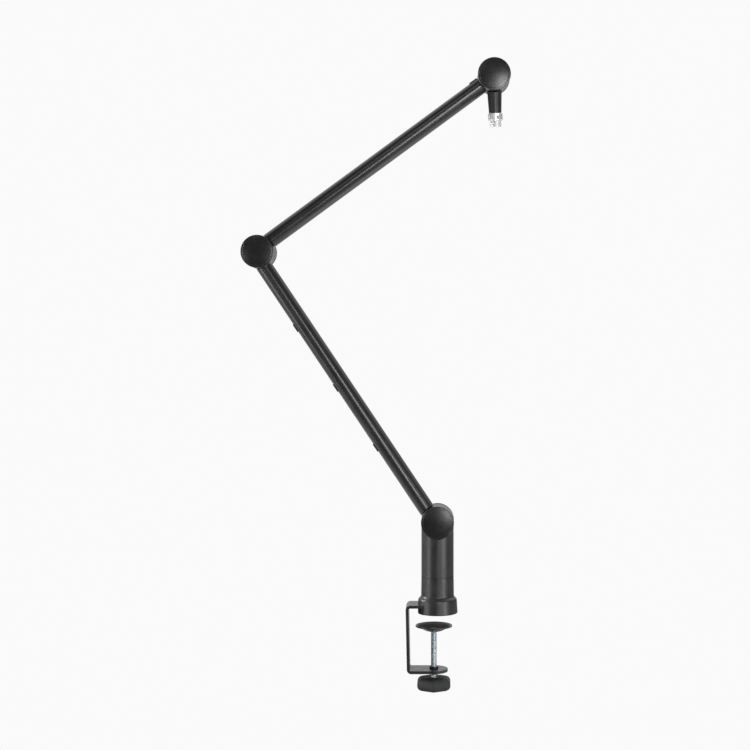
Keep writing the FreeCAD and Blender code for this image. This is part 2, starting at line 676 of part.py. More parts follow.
def swivel_parts():
    """Bearing, washers, spindle and nut that the post turns on."""
    bearing = cut(
        "swivel_bearing",
        ring(
            "bearing_ring",
            f"{POST_BORE} - fit_clearance",
            SPINDLE_BORE,
            "bearing_height",
            ("0", "0", POST_FOOT),
        ),
        post_grub_cutter("bearing_grub_hole"),
    )
    finish(bearing, "swivel_bearing")
    grub = grub_screw("post_grub", POST_RADIUS, "post_grub_length", "0", BEARING_MIDDLE)
    finish(grub, "post_grub_screw")
    washer = ring(
        "swivel_washer",
        f"{POST_RADIUS} - swivel_washer_margin",
        SPINDLE_BORE,
        "swivel_washer_thickness",
        ("0", "0", "seam_height - swivel_washer_thickness / 2"),
    )
    finish(washer, "swivel_washer")
    disc = ring(
        "swivel_disc_spring",
        "swivel_spring_diameter / 2",
        SPINDLE_BORE,
        "swivel_spring_height",
        ("0", "0", BEARING_TOP),
    )
    finish(disc, "swivel_disc_spring")
    nut_foot = f"{BEARING_TOP} + swivel_spring_height"
    nut = cut(
        "swivel_nut",
        hex_prism("swivel_nut_hex", "spindle_head_flats", "swivel_nut_height"),
        cylinder("swivel_nut_thread", "spindle_diameter / 2", "swivel_nut_height"),
    )
    finish(place(nut, ("0", "0", nut_foot)), "swivel_nut")
    head_seat = "strap_top - strap_thickness"
    length = f"{nut_foot} + swivel_nut_height + spindle_tail - ({head_seat})"
    spindle = fuse(
        "swivel_spindle",
        cylinder("spindle_shank", "spindle_diameter / 2", length),
        hex_prism(
            "spindle_head", "spindle_head_flats", "spindle_head_height", ("0", "0", "-spindle_head_height")
        ),
    )
    finish(place(spindle, ("0", "0", head_seat)), "swivel_spindle")


# Desk clamp.

STRAP_BORE = "spindle_diameter / 2 + fit_clearance"
LEG_FLOOR = "-strap_drop - strap_thickness"
SLEEVE_FOOT = f"({POST_RADIUS} + sleeve_taper)"
SHOULDER = f"({SLEEVE_FOOT} + flare_spread)"
COLLAR_FOOT = f"({SHOULDER} + foot_taper)"
FOOT_BORE = f"({COLLAR_FOOT} - foot_wall)"


def base_collar(label):
    """A flared cup over the strap, with a core for the spindle and a slot for the strap at its foot."""
    top = "seam_height - seam_gap / 2"
    floor = "strap_top + collar_floor"
    rise = "(flare_top - flare_bottom)"
    flare_middle = "(flare_bottom + flare_top) / 2"
    flare_round = f"(flare_spread^2 + {rise}^2) / (4 * flare_spread)"
    blank = turned(
        "collar_blank",
        [
            (STRAP_BORE, "strap_top"),
            (FOOT_BORE, "strap_top"),
            (FOOT_BORE, "collar_foot_gap"),
            (f"{COLLAR_FOOT} - collar_foot_round", "collar_foot_gap", f"{COLLAR_FOOT} - collar_foot_round"),
            (COLLAR_FOOT, "collar_foot_gap + collar_foot_round"),
            (SHOULDER, "flare_bottom", f"{SHOULDER} - {flare_round}"),
            (f"{SLEEVE_FOOT} + flare_spread / 2", flare_middle, f"{SLEEVE_FOOT} + {flare_round}"),
            (SLEEVE_FOOT, "flare_top"),
            (POST_RADIUS, top),
            (f"{POST_RADIUS} - sleeve_wall", top),
            (f"{POST_RADIUS} - sleeve_wall", floor),
            ("collar_core_diameter / 2", floor),
            ("collar_core_diameter / 2", top),
            (STRAP_BORE, top),
        ],
    )
    slot = box(
        "strap_slot",
        (COLLAR_FOOT, "strap_width + 2 * strap_clearance", "strap_top"),
        (f"-{COLLAR_FOOT}", "-strap_width / 2 - strap_clearance", "0"),
    )
    return finish(cut(label, blank, slot), label)


def clamp_bracket(label):
    """A steel strap bent to a C, with a round end under the clamp screw."""
    outer = "-strap_reach"
    upper_outer = "-strap_reach - strap_splay"
    bend = "strap_bend + strap_thickness"
    bend_x = f"{outer} + {bend}"
    upper_bend_x = f"{upper_outer} + {bend}"
    under = "strap_top - strap_thickness"
    end = "strap_width / 2 - screw_offset"
    strip = plate(
        "strap_strip",
        [
            ("strap_tongue", "strap_top"),
            (upper_bend_x, "strap_top", upper_bend_x),
            (upper_outer, f"strap_top - ({bend})"),
            (outer, f"{LEG_FLOOR} + {bend}", bend_x),
            (bend_x, LEG_FLOOR),
            (end, LEG_FLOOR),
            (end, "-strap_drop"),
            (bend_x, "-strap_drop", bend_x),
            (f"{outer} + strap_thickness", "-strap_drop + strap_bend"),
            (f"{upper_outer} + strap_thickness", f"{under} - strap_bend", upper_bend_x),
            (upper_bend_x, under),
            ("strap_tongue", under),
        ],
        "strap_width",
    )
    half = "strap_width / 2"
    whole = f"strap_top - ({LEG_FLOOR})"
    tongue = f"{FOOT_BORE} - strap_clearance"
    plan = fuse(
        "strap_plan",
        box(
            "strap_plan_run",
            ("strap_reach + strap_splay - screw_offset", "strap_width", whole),
            (upper_outer, f"-{half}", LEG_FLOOR),
        ),
        cylinder("strap_plan_end", half, "strap_thickness", ("-screw_offset", "0", LEG_FLOOR)),
        cylinder("strap_plan_tongue", tongue, "strap_thickness", ("0", "0", under)),
    )
    bracket = cut(
        label,
        common("strap_blank", strip, plan),
        cylinder("strap_spindle_hole", STRAP_BORE, THROUGH, ("0", "0", "0")),
        cylinder(
            "strap_nut_hole",
            "clamp_nut_body / 2 + fit_clearance",
            "3 * strap_thickness",
            ("-screw_offset", "0", f"{LEG_FLOOR} - strap_thickness"),
        ),
    )
    return finish(bracket, label)


def desk_pad(label):
    """A rubber foot under the strap, with a tongue in the strap's slot, hollowed over the spindle's head."""
    thickness = "strap_top - strap_thickness"
    hollow = "spindle_head_height + fit_clearance"
    tongue = common(
        "pad_tongue",
        box(
            "pad_tongue_run",
            (COLLAR_FOOT, "strap_width", thickness),
            (f"-{COLLAR_FOOT}", "-strap_width / 2", "0"),
        ),
        cylinder("pad_tongue_end", f"{COLLAR_FOOT} - pad_clearance", thickness),
    )
    pad = cut(
        label,
        fuse("pad_blank", cylinder("pad_disc", f"{FOOT_BORE} - pad_clearance", thickness), tongue),
        cylinder(
            "pad_hollow",
            "spindle_head_flats / 2 / cos(30) + fit_clearance",
            hollow,
            ("0", "0", f"{thickness} - ({hollow})"),
        ),
    )
    return finish(pad, label)


def clamp_nut(label):
    """A threaded bush pressed into the lower leg."""
    bore = "screw_diameter / 2 + running_clearance"
    bush = turned(
        label,
        [
            (bore, LEG_FLOOR),
            ("clamp_nut_body / 2", LEG_FLOOR),
            ("clamp_nut_body / 2", "-strap_drop"),
            ("clamp_nut_diameter / 2", "-strap_drop"),
            ("clamp_nut_diameter / 2", "-strap_drop + clamp_nut_rise"),
            (bore, "-strap_drop + clamp_nut_rise"),
        ],
        ("-screw_offset", "0", "0"),
    )
    return finish(bush, label)


PLATE_RIM = "-jaw_gap"
PLATE_BRIM = f"{PLATE_RIM} - plate_brim_drop"
PLATE_FLOOR = f"{PLATE_BRIM} - plate_bowl_drop"
PLATE_UNDER = f"{PLATE_FLOOR} - plate_thickness"
KNOB_TOP = f"{LEG_FLOOR} - knob_gap"


def pressure_plate(label):
    """A dished steel disc that turns on the screw's neck."""
    hole = "screw_neck_diameter / 2 + plate_play"
    rim, brim, floor = "plate_diameter / 2", "plate_brim_inner / 2", "plate_floor_diameter / 2"
    disc = turned(
        label,
        [
            (hole, PLATE_UNDER),
            (floor, PLATE_UNDER),
            (brim, f"{PLATE_BRIM} - plate_thickness"),
            (rim, f"{PLATE_RIM} - plate_thickness"),
            (rim, PLATE_RIM),
            (brim, PLATE_BRIM),
            (floor, PLATE_FLOOR),
            (hole, PLATE_FLOOR),
        ],
        ("-screw_offset", "0", "0"),
    )
    return finish(disc, label)


def clamp_screw(label):
    """A plated screw with a neck and a peened end that hold the pressure plate."""
    neck, rivet = "screw_neck_diameter / 2", "screw_rivet_diameter / 2"
    shoulder = f"{PLATE_UNDER} - plate_play"
    rivet_foot = f"{PLATE_FLOOR} + plate_play"
    foot = f"{KNOB_TOP} - screw_in_knob"
    screw = turned(
        label,
        [
            ("0", foot),
            ("screw_diameter / 2", foot),
            ("screw_diameter / 2", shoulder),
            (neck, shoulder),
            (neck, rivet_foot),
            (rivet, rivet_foot),
            (f"{rivet} - screw_rivet_height / 2", f"{rivet_foot} + screw_rivet_height"),
            ("0", f"{rivet_foot} + screw_rivet_height"),
        ],
        ("-screw_offset", "0", "0"),
    )
    return finish(screw, label)


def screw_knob(label):
    """A six-sided knob with rounded edges, moulded round the screw, with one corner to the front."""
    flat = "knob_flats / 2"
    half = "knob_height / 2"
    step = f"{flat} - knob_round"
    side = f"{half} - knob_round"
    points = [
        (f"-({step})", f"-({half})"),
        (step, f"-({half})", step),
        (flat, f"-({side})"),
        (flat, side, step),
        (step, half),
        (f"-({step})", half, f"-({step})"),
        (f"-({flat})", side),
        (f"-({flat})", f"-({side})", f"-({step})"),
    ]
    slabs = [
        plate(f"knob_slab_{turn}", points, "2 * knob_flats", rotation=FreeCAD.Rotation(Z_AXIS, turn))
        for turn in SLAB_TURNS
    ]
    corner = f"{flat} / cos(30) - knob_corner_trim"
    round_corners = cylinder("knob_corner_round", corner, "knob_height", ("0", "0", f"-({half})"))
    bore = cylinder(
        "knob_bore",
        "screw_diameter / 2 + fit_clearance",
        "screw_in_knob",
        ("0", "0", f"{half} - screw_in_knob"),
    )
    knob = cut(label, common("knob_blank", *slabs, round_corners), bore)
    return finish(place(knob, ("-screw_offset", "0", f"{KNOB_TOP} - {half}")), label)


# Microphone mount, drawn upright from the tip hinge, then leaned over to hang down.

STUD_HOLE = "stud_diameter / 2 + fit_clearance"


def mic_mount(label):
    """The back half of the tip hinge, drawn out through a flared neck to a tapered stub."""
    root_radius, end_radius, neck_radius = (
        "stub_root_diameter / 2",
        "stub_end_diameter / 2",
        "neck_diameter / 2",
    )
    root_z = f"({HUB_RADIUS} + stub_shoulder)"
    neck_z = f"sqrt(({HUB_RADIUS})^2 - ({neck_radius})^2)"
    blank = fuse(
        "mount_blank",
        hub_disc("mount_hub", True),
        cone("mount_neck", neck_radius, root_radius, f"{root_z} - {neck_z}", ("0", "0", neck_z)),
        cone("mount_stub", root_radius, end_radius, f"stub_length - {root_z}", ("0", "0", root_z)),
    )
    mount = cut(
        label,
        blank,
        facing_space("mount_facing_space", True),
        cylinder("mount_stud_hole", STUD_HOLE, "stud_embed", ("0", "0", "stub_length - stud_embed")),
        *hub_cutters("mount", True, False),
    )
    return finish(lean(mount, TIP, "mic_mount_lean"), label)


def mic_stud(label):
    """The threaded stud that stands out of the stub."""
    stud = cylinder("stud_bar", "stud_diameter / 2", "stud_embed + stud_reach")
    return finish(lean(stud, along_mount("stub_length - stud_embed"), "mic_mount_lean"), label)


def along_mount(distance):
    """A place on the mount's axis, at a distance from the tip hinge."""
    return (
        f"{TIP_X} + ({distance}) * sin(mic_mount_lean)",
        "0",
        f"{TIP_Z} + ({distance}) * cos(mic_mount_lean)",
    )


def thread_adapter(label):
    """A flanged sleeve, threaded inside for the stud and outside for a microphone clip."""
    flange, thread = "adapter_flange_diameter / 2", "adapter_thread_diameter / 2"
    end = "adapter_flange_length + adapter_thread_length"
    adapter = turned(
        label,
        [
            (STUD_HOLE, "0"),
            (f"{flange} - adapter_chamfer", "0"),
            (flange, "adapter_chamfer"),
            (flange, "adapter_flange_length - adapter_chamfer"),
            (f"{flange} - adapter_chamfer", "adapter_flange_length"),
            (thread, "adapter_flange_length"),
            (thread, f"{end} - adapter_chamfer"),
            (f"{thread} - adapter_chamfer", end),
            (STUD_HOLE, end),
        ],
    )
    return finish(lean(adapter, along_mount("stub_length"), "mic_mount_lean"), label)


# The whole object.

clamp_bracket("clamp_bracket")
base_collar("base_collar")
desk_pad("desk_pad")
clamp_nut("clamp_nut")
pressure_plate("pressure_plate")
clamp_screw("clamp_screw")
screw_knob("screw_knob")
post_housing("post_housing")
swivel_parts()
arm(
    "lower_arm",
    "lower_arm_length",
    "lower_arm_lean",
    BASE,
    offset="base_offset",
    head_shift=ELBOW_SHIFT,
    head_sprung=True,
    clips=[f"first_clip + {index} * clip_pitch" for index in range(CLIP_COUNT)],
)
arm(
    "upper_arm",
    "upper_arm_length",
    "upper_arm_lean",
    ELBOW,
    offset="upper_elbow_offset",
    head_shift=TIP_SHIFT,
    head_sprung=False,
    clips=["upper_arm_length - tip_clip_distance"],
)
hinge_hardware("base", BASE, sprung=True)
hinge_hardware("elbow", ELBOW, sprung=True)
hinge_hardware("tip", TIP, sprung=False)
mic_mount("mic_mount")
mic_stud("mic_stud")
thread_adapter("thread_adapter")

doc.recompute()

# Checks, then one STEP file for each sub-part.

for item in doc.Objects:
    if "Invalid" in item.State or "Error" in item.State:
        raise RuntimeError(f"{item.Name} failed: {item.State}")
for item in sub_parts:
    if item.Shape.isNull() or not item.Shape.isValid() or not item.Shape.Solids:
        raise RuntimeError(f"{item.Label} has no valid solid")

os.makedirs("parts", exist_ok=True)
for item in sub_parts:
    item.Shape.exportStep(f"parts/{item.Label}.step")
    print(f"{item.Label}: {len(item.Shape.Solids)} solid(s), {item.Shape.Volume:.1f} mm3")
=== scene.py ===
"""Microphone boom arm on a desk clamp: detailed meshes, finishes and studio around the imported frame.

Shapes are modelled in millimetres in the local frame of their sub-assembly, then placed in metres. The arms
move in the XZ plane, the hinge axes run along Y, and -Y is the front.
"""

import json
import logging
import math
from collections.abc import Sequence
from dataclasses import dataclass
from enum import Enum
from typing import Any, NamedTuple

import bmesh
import bpy
from mathutils import Matrix, Vector

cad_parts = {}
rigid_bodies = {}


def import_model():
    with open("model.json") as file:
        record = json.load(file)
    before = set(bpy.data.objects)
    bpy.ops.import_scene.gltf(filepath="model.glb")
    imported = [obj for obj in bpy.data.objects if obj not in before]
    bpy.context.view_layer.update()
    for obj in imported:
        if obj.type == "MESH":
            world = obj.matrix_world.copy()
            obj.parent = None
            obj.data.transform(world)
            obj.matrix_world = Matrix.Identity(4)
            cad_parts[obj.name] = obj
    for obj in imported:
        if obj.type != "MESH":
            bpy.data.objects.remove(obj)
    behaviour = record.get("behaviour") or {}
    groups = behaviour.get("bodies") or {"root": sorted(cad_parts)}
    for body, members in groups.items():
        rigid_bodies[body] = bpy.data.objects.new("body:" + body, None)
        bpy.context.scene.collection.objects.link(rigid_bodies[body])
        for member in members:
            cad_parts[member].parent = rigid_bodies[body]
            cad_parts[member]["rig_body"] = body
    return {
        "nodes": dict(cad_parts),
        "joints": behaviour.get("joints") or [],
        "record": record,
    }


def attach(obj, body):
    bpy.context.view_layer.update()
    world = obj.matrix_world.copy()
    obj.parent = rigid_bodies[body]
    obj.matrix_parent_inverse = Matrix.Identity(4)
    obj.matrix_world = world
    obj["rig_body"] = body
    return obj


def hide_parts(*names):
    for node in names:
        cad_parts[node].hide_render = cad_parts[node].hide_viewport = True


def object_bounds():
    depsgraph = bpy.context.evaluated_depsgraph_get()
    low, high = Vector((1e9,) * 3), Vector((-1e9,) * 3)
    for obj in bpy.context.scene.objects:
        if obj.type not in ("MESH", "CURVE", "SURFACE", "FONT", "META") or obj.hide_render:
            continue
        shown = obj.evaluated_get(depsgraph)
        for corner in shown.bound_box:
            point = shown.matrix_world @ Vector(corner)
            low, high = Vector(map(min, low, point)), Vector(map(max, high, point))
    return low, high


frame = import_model()
CAD_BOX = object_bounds()

LOG = logging.getLogger("boom_arm")
MM = 0.001
FULL_TURN = 2 * math.pi
TURN_STEPS = 96  # faces round a turned piece
ROUND_STEPS = 5  # faces across a round of a turned outline
EDGE_STEPS = 3  # faces across a softened edge
MERGE_MM = 0.002  # vertices closer than this are one
CUT_MM = MERGE_MM / 100  # vertices closer than this to a cut lie on it
FLAT_ANGLE = math.radians(0.4)  # facets flatter than this to each other are one face
SHARP_ANGLE = math.radians(32)  # edges sharper than this get a round
HEX_SIDES = 6
NOISE_RANGE = (0.3, 0.7)  # where the values of a noise texture mostly lie
WHITE = (1.0, 1.0, 1.0, 1.0)


class Slot(Enum):
    """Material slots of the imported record."""

    ARM_TUBE = "arm_tube"
    CAST_BODY = "cast_body"
    HINGE_CAP = "hinge_cap"
    CLAMP_STRAP = "clamp_strap"
    KNOB = "knob"
    CLIP = "clip"
    PAD = "pad"
    ZINC_STEEL = "zinc_steel"
    BLACK_SCREW = "black_screw"
    SPRING_STEEL = "spring_steel"
    FRICTION_PLASTIC = "friction_plastic"
    BEARING_BRONZE = "bearing_bronze"
    BRIGHT_NICKEL = "bright_nickel"


class Side(Enum):
    """Which way a hinge half faces, as its turn about X from upright, in degrees."""

    FRONT = 90
    REAR = -90


# Colours and nodes


def linear(hex_colour: str) -> tuple[float, float, float, float]:
    """Turns an sRGB hex colour to linear light.

    Args:
        hex_colour: Six hex digits after a #.

    Returns:
        Linear red, green and blue, and a full alpha.
    """
    shares = [int(hex_colour[start:start + 2], 16) / 255 for start in (1, 3, 5)]
    red, green, blue = (
        share / 12.92 if share <= 0.04045 else ((share + 0.055) / 1.055) ** 2.4 for share in shares
    )
    return (red, green, blue, 1.0)


def per_metre(size_mm: float) -> float:
    """The texture scale at which one feature of a pattern is size_mm wide."""
    return 1 / (size_mm * MM)


def add_node(
    tree: bpy.types.NodeTree, kind: str, inputs: dict[str, Any] | None = None, **settings: Any
) -> bpy.types.Node:
    """Adds a node with its settings, input values and links.

    Args:
        tree: The node tree that gets it.
        kind: Blender's name of the node's class.
        inputs: For each input's identifier a value, or (node, output identifier) to link from.
        settings: Properties of the node.

    Returns:
        The new node.
    """
    node = tree.nodes.new(kind)
    for name, value in settings.items():
        setattr(node, name, value)
    sockets = {socket.identifier: socket for socket in node.inputs}
    for name, value in (inputs or {}).items():
        if isinstance(value, tuple) and isinstance(value[0], bpy.types.Node):
            outputs = {socket.identifier: socket for socket in value[0].outputs}
            tree.links.new(outputs[value[1]], sockets[name])
        else:
            sockets[name].default_value = value
    return node


def between(limits: tuple[float, float]) -> dict[str, float]:
    """The inputs of a map range that starts and ends at two limits."""
    return {"From Min": limits[0], "From Max": limits[1]}


def empty_material(label: str) -> tuple[bpy.types.Material, bpy.types.NodeTree]:
    """A material of that name with no nodes yet."""
    material = bpy.data.materials.new(label)
    material.use_nodes = True
    material.node_tree.nodes.clear()
    return material, material.node_tree


# Finishes


@dataclass(frozen=True)
class SkinFinish:
    """A paint, powder coat, moulded plastic or rubber: a clear-bound skin with a fine grain.

    Lengths are in millimetres. The grain tilts the gloss, the mottle varies colour and gloss over
    larger patches, and edges that hands and cables touch are rubbed paler.
    """

    label: str
    colour: str
    rubbed: str
    roughness: float
    ior: float
    grain: float
    grain_depth: float
    mottle: float
    mottle_share: float
    edge_rub: float
    roughness_spread: float = 0.05

    PATCH_RANGE = (0.35, 0.7)
    EDGE_RANGE = (0.53, 0.64)  # pointiness from the first wear to full wear

    def material(self) -> bpy.types.Material:
        """Builds the node material of this finish."""
        material, tree = empty_material(self.label)
        spot = (add_node(tree, "ShaderNodeTexCoord"), "Object")
        patches = add_node(
            tree,
            "ShaderNodeTexNoise",
            {"Vector": spot, "Scale": per_metre(self.mottle), "Detail": 4.0, "Roughness": 0.6},
        )
        patch_share = add_node(
            tree,
            "ShaderNodeMapRange",
            {"Value": (patches, "Fac"), **between(self.PATCH_RANGE), "To Max": self.mottle_share},
        )
        surface = add_node(tree, "ShaderNodeNewGeometry")
        edge_share = add_node(
            tree,
            "ShaderNodeMapRange",
            {"Value": (surface, "Pointiness"), **between(self.EDGE_RANGE), "To Max": self.edge_rub},
        )
        worn_edge = add_node(
            tree,
            "ShaderNodeMath",
            {"Value": (edge_share, "Result"), "Value_001": (patches, "Fac")},
            operation="MULTIPLY",
        )
        rub = add_node(
            tree,
            "ShaderNodeMath",
            {"Value": (patch_share, "Result"), "Value_001": (worn_edge, "Value")},
            operation="ADD",
            use_clamp=True,
        )
        colour = add_node(
            tree,
            "ShaderNodeMix",
            {
                "Factor_Float": (rub, "Value"),
                "A_Color": linear(self.colour),
                "B_Color": linear(self.rubbed),
            },
            data_type="RGBA",
        )
        gloss = add_node(
            tree,
            "ShaderNodeMapRange",
            {
                "Value": (patches, "Fac"),
                **between(NOISE_RANGE),
                "To Min": self.roughness - self.roughness_spread,
                "To Max": self.roughness + self.roughness_spread,
            },
        )
        grain = add_node(
            tree,
            "ShaderNodeTexNoise",
            {"Vector": spot, "Scale": per_metre(self.grain), "Detail": 2.0, "Roughness": 0.5},
        )
        bump = add_node(
            tree,
            "ShaderNodeBump",
            {"Height": (grain, "Fac"), "Strength": 1.0, "Distance": self.grain_depth * MM},
        )
        shader = add_node(
            tree,
            "ShaderNodeBsdfPrincipled",
            {
                "Base Color": (colour, "Result_Color"),
                "Roughness": (gloss, "Result"),
                "Normal": (bump, "Normal"),
                "IOR": self.ior,
            },
        )
        add_node(tree, "ShaderNodeOutputMaterial", {"Surface": (shader, "BSDF")})
        return material


@dataclass(frozen=True)
class MetalFinish:
    """A bare or plated metal, with a second tint in patches and fine marks of how it was made.

    Lengths are in millimetres. stretch draws the marks out along X, Y and Z, as turning or drawing does.
    """

    label: str
    colour: str
    tint: str
    roughness: float
    mark: float
    patch: float
    roughness_spread: float = 0.08
    mark_depth: float = 0.004
    stretch: tuple[float, float, float] = (1.0, 1.0, 1.0)

    PATCH_RANGE = (0.35, 0.65)

    def material(self) -> bpy.types.Material:
        """Builds the node material of this finish."""
        material, tree = empty_material(self.label)
        spot = (add_node(tree, "ShaderNodeTexCoord"), "Object")
        patches = add_node(
            tree,
            "ShaderNodeTexNoise",
            {"Vector": spot, "Scale": per_metre(self.patch), "Detail": 3.0, "Roughness": 0.55},
        )
        share = add_node(
            tree, "ShaderNodeMapRange", {"Value": (patches, "Fac"), **between(self.PATCH_RANGE)}
        )
        colour = add_node(
            tree,
            "ShaderNodeMix",
            {
                "Factor_Float": (share, "Result"),
                "A_Color": linear(self.colour),
                "B_Color": linear(self.tint),
            },
            data_type="RGBA",
        )
        drawn = add_node(tree, "ShaderNodeMapping", {"Vector": spot, "Scale": self.stretch})
        marks = add_node(
            tree,
            "ShaderNodeTexNoise",
            {"Vector": (drawn, "Vector"), "Scale": per_metre(self.mark), "Detail": 3.0, "Roughness": 0.6},
        )
        gloss = add_node(
            tree,
            "ShaderNodeMapRange",
            {
                "Value": (marks, "Fac"),
                **between(NOISE_RANGE),
                "To Min": self.roughness - self.roughness_spread,
                "To Max": self.roughness + self.roughness_spread,
            },
        )
        bump = add_node(
            tree,
            "ShaderNodeBump",
            {"Height": (marks, "Fac"), "Strength": 1.0, "Distance": self.mark_depth * MM},
        )
        shader = add_node(
            tree,
            "ShaderNodeBsdfPrincipled",
            {
                "Base Color": (colour, "Result_Color"),
                "Metallic": 1.0,
                "Roughness": (gloss, "Result"),
                "Normal": (bump, "Normal"),
            },
        )
        add_node(tree, "ShaderNodeOutputMaterial", {"Surface": (shader, "BSDF")})
        return material


FINISHES: dict[Slot, SkinFinish | MetalFinish] = {
    # Satin polyester powder coat, sprayed and baked on drawn tube: deep black with a soft, slightly
    # rippled sheen. The real ripple is finer and is drawn 2 mm wide so that it shows.
    Slot.ARM_TUBE: SkinFinish(
        label="powder_coated_tube",
        colour="#161617",
        rubbed="#242425",
        roughness=0.28,
        ior=1.5,
        grain=2.0,
        grain_depth=0.006,
        mottle=24.0,
        mottle_share=0.3,
        roughness_spread=0.04,
        edge_rub=0.9,
    ),
    # Wet paint over a die casting: the same black, flatter, with the sandy skin of the casting under it.
    Slot.CAST_BODY: SkinFinish(
        label="painted_die_casting",
        colour="#171718",
        rubbed="#282829",
        roughness=0.38,
        ior=1.5,
        grain=1.4,
        grain_depth=0.01,
        mottle=18.0,
        mottle_share=0.35,
        edge_rub=0.9,
    ),
    # Black ABS from a spark-eroded mould: even, soft gloss.
    Slot.HINGE_CAP: SkinFinish(
        label="moulded_abs_cap",
        colour="#0f0f10",
        rubbed="#1d1d1e",
        roughness=0.26,
        ior=1.53,
        grain=1.2,
        grain_depth=0.004,
        mottle=15.0,
        mottle_share=0.25,
        roughness_spread=0.03,
        edge_rub=0.7,
    ),
    # Thick powder coat on flat steel: more ripple, and rubbed pale along the bent edges.
    Slot.CLAMP_STRAP: SkinFinish(
        label="powder_coated_strap",
        colour="#131314",
        rubbed="#272728",
        roughness=0.34,
        ior=1.5,
        grain=1.6,
        grain_depth=0.012,
        mottle=12.0,
        mottle_share=0.4,
        edge_rub=0.8,
    ),
    # Glass-filled nylon: a dull charcoal with pale fibre clouds near the surface. Its rough skin
    # returns less gloss than its resin would, so the IOR is lower than the resin's 1.53.
    Slot.KNOB: SkinFinish(
        label="glass_filled_nylon",
        colour="#272728",
        rubbed="#363637",
        roughness=0.68,
        ior=1.4,
        grain=1.1,
        grain_depth=0.02,
        mottle=6.0,
        mottle_share=0.35,
        roughness_spread=0.06,
        edge_rub=0.8,
    ),
    # Unfilled polypropylene: a little waxy.
    Slot.CLIP: SkinFinish(
        label="moulded_polypropylene",
        colour="#161617",
        rubbed="#29292a",
        roughness=0.5,
        ior=1.49,
        grain=1.0,
        grain_depth=0.008,
        mottle=5.0,
        mottle_share=0.3,
        edge_rub=0.7,
    ),
    # Nitrile rubber sheet: dead matt with a pebbled face.
    Slot.PAD: SkinFinish(
        label="nitrile_rubber",
        colour="#161616",
        rubbed="#2c2c2b",
        roughness=0.85,
        ior=1.52,
        grain=1.2,
        grain_depth=0.06,
        mottle=7.0,
        mottle_share=0.4,
        edge_rub=0.6,
    ),
    # Acetal bearing ring, dyed black, turned.
    Slot.FRICTION_PLASTIC: SkinFinish(
        label="black_acetal",
        colour="#141414",
        rubbed="#242424",
        roughness=0.4,
        ior=1.48,
        grain=0.8,
        grain_depth=0.005,
        mottle=6.0,
        mottle_share=0.3,
        roughness_spread=0.04,
        edge_rub=0.5,
    ),
    # Zinc plate with a blue passivate on a rolled thread: bright, cool, in soft clouds.
    Slot.ZINC_STEEL: MetalFinish(
        label="blue_zinc_plate",
        colour="#b4c5cd",
        tint="#cfdade",
        roughness=0.42,
        mark=1.5,
        patch=7.0,
    ),
    # Black oxide on a machined screw: dark grey, half matt, oily.
    Slot.BLACK_SCREW: MetalFinish(
        label="black_oxide_screw",
        colour="#2b2b2d",
        tint="#3a3938",
        roughness=0.42,
        mark=1.0,
        patch=3.0,
    ),
    # Oil-tempered spring wire: grey with drawing lines.
    Slot.SPRING_STEEL: MetalFinish(
        label="oil_tempered_spring_steel",
        colour="#77777a",
        tint="#625e59",
        roughness=0.34,
        mark=1.2,
        patch=4.0,
    ),
    # Sintered bronze: warm, matt, full of pores.
    Slot.BEARING_BRONZE: MetalFinish(
        label="sintered_bronze",
        colour="#a67c4a",
        tint="#8a6238",
        roughness=0.48,
        roughness_spread=0.1,
        mark=0.8,
        mark_depth=0.02,
        patch=3.0,
    ),
    # Bright nickel over turned brass: near white, its gloss broken by fine rings from the lathe.
    Slot.BRIGHT_NICKEL: MetalFinish(
        label="bright_nickel_plate",
        colour="#f1f1f0",
        tint="#e4e5e6",
        roughness=0.4,
        roughness_spread=0.05,
        mark=1.0,
        mark_depth=0.002,
        patch=6.0,
        stretch=(0.15, 0.15, 1.0),
    ),
}


class Palette:
    """The materials of all finishes, one for each slot of the record."""

    def __init__(self) -> None:
        """Builds every material once."""
        self.materials = {slot: finish.material() for slot, finish in FINISHES.items()}

    def dress_node(self, node: str, slot: Slot) -> None:
        """Gives a frame node that stays in view the material of a slot."""
        item = frame["nodes"][node]
        item.data.materials.clear()
        item.data.materials.append(self.materials[slot])
        LOG.info("dressed %s as %s", node, slot.value)

    def add_piece(
        self, shape: bmesh.types.BMesh, node: str, place: Matrix, slot: Slot, name: str | None = None
    ) -> None:
        """Turns a finished shape into a piece, at the origin, that stands for a frame node.

        Args:
            shape: The shape in millimetres, in the local frame that place puts in the scene.
            node: The frame node that the piece replaces and whose body it rides on.
            place: The local frame, with its origin in metres.
            slot: The finish.
            name: The piece's name, if it isn't made from the node's.
        """
        shape.transform(place @ Matrix.Scale(MM, 4))
        name = name or f"{node}_piece"
        mesh = bpy.data.meshes.new(name)
        for face in shape.faces:
            face.smooth = True
        shape.to_mesh(mesh)
        shape.free()
        mesh.materials.append(self.materials[slot])
        piece = bpy.data.objects.new(name, mesh)
        bpy.context.scene.collection.objects.link(piece)
        facets = piece.modifiers.new("even_normals", "WEIGHTED_NORMAL")
        facets.keep_sharp = True
        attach(piece, frame["nodes"][node]["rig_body"])
        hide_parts(node)
        LOG.info("modelled %s with %d faces as %s", name, len(mesh.polygons), slot.value)


# Shapes


class Corner(NamedTuple):
    """A corner of a turned outline, with the round at it, in millimetres."""

    radius: float
    height: float
    round: float = 0.0


def open_edges(shape: bmesh.types.BMesh) -> int:
    """How many edges don't have exactly two faces."""
    return sum(1 for edge in shape.edges if len(edge.link_faces) != 2)


def close_up(shape: bmesh.types.BMesh) -> bmesh.types.BMesh:
    """Merges doubled vertices and turns all faces outwards."""
    bmesh.ops.remove_doubles(shape, verts=shape.verts, dist=MERGE_MM)
    bmesh.ops.recalc_face_normals(shape, faces=shape.faces)
    if open_edges(shape):
        LOG.warning("a shape has %d open edges", open_edges(shape))
    return shape


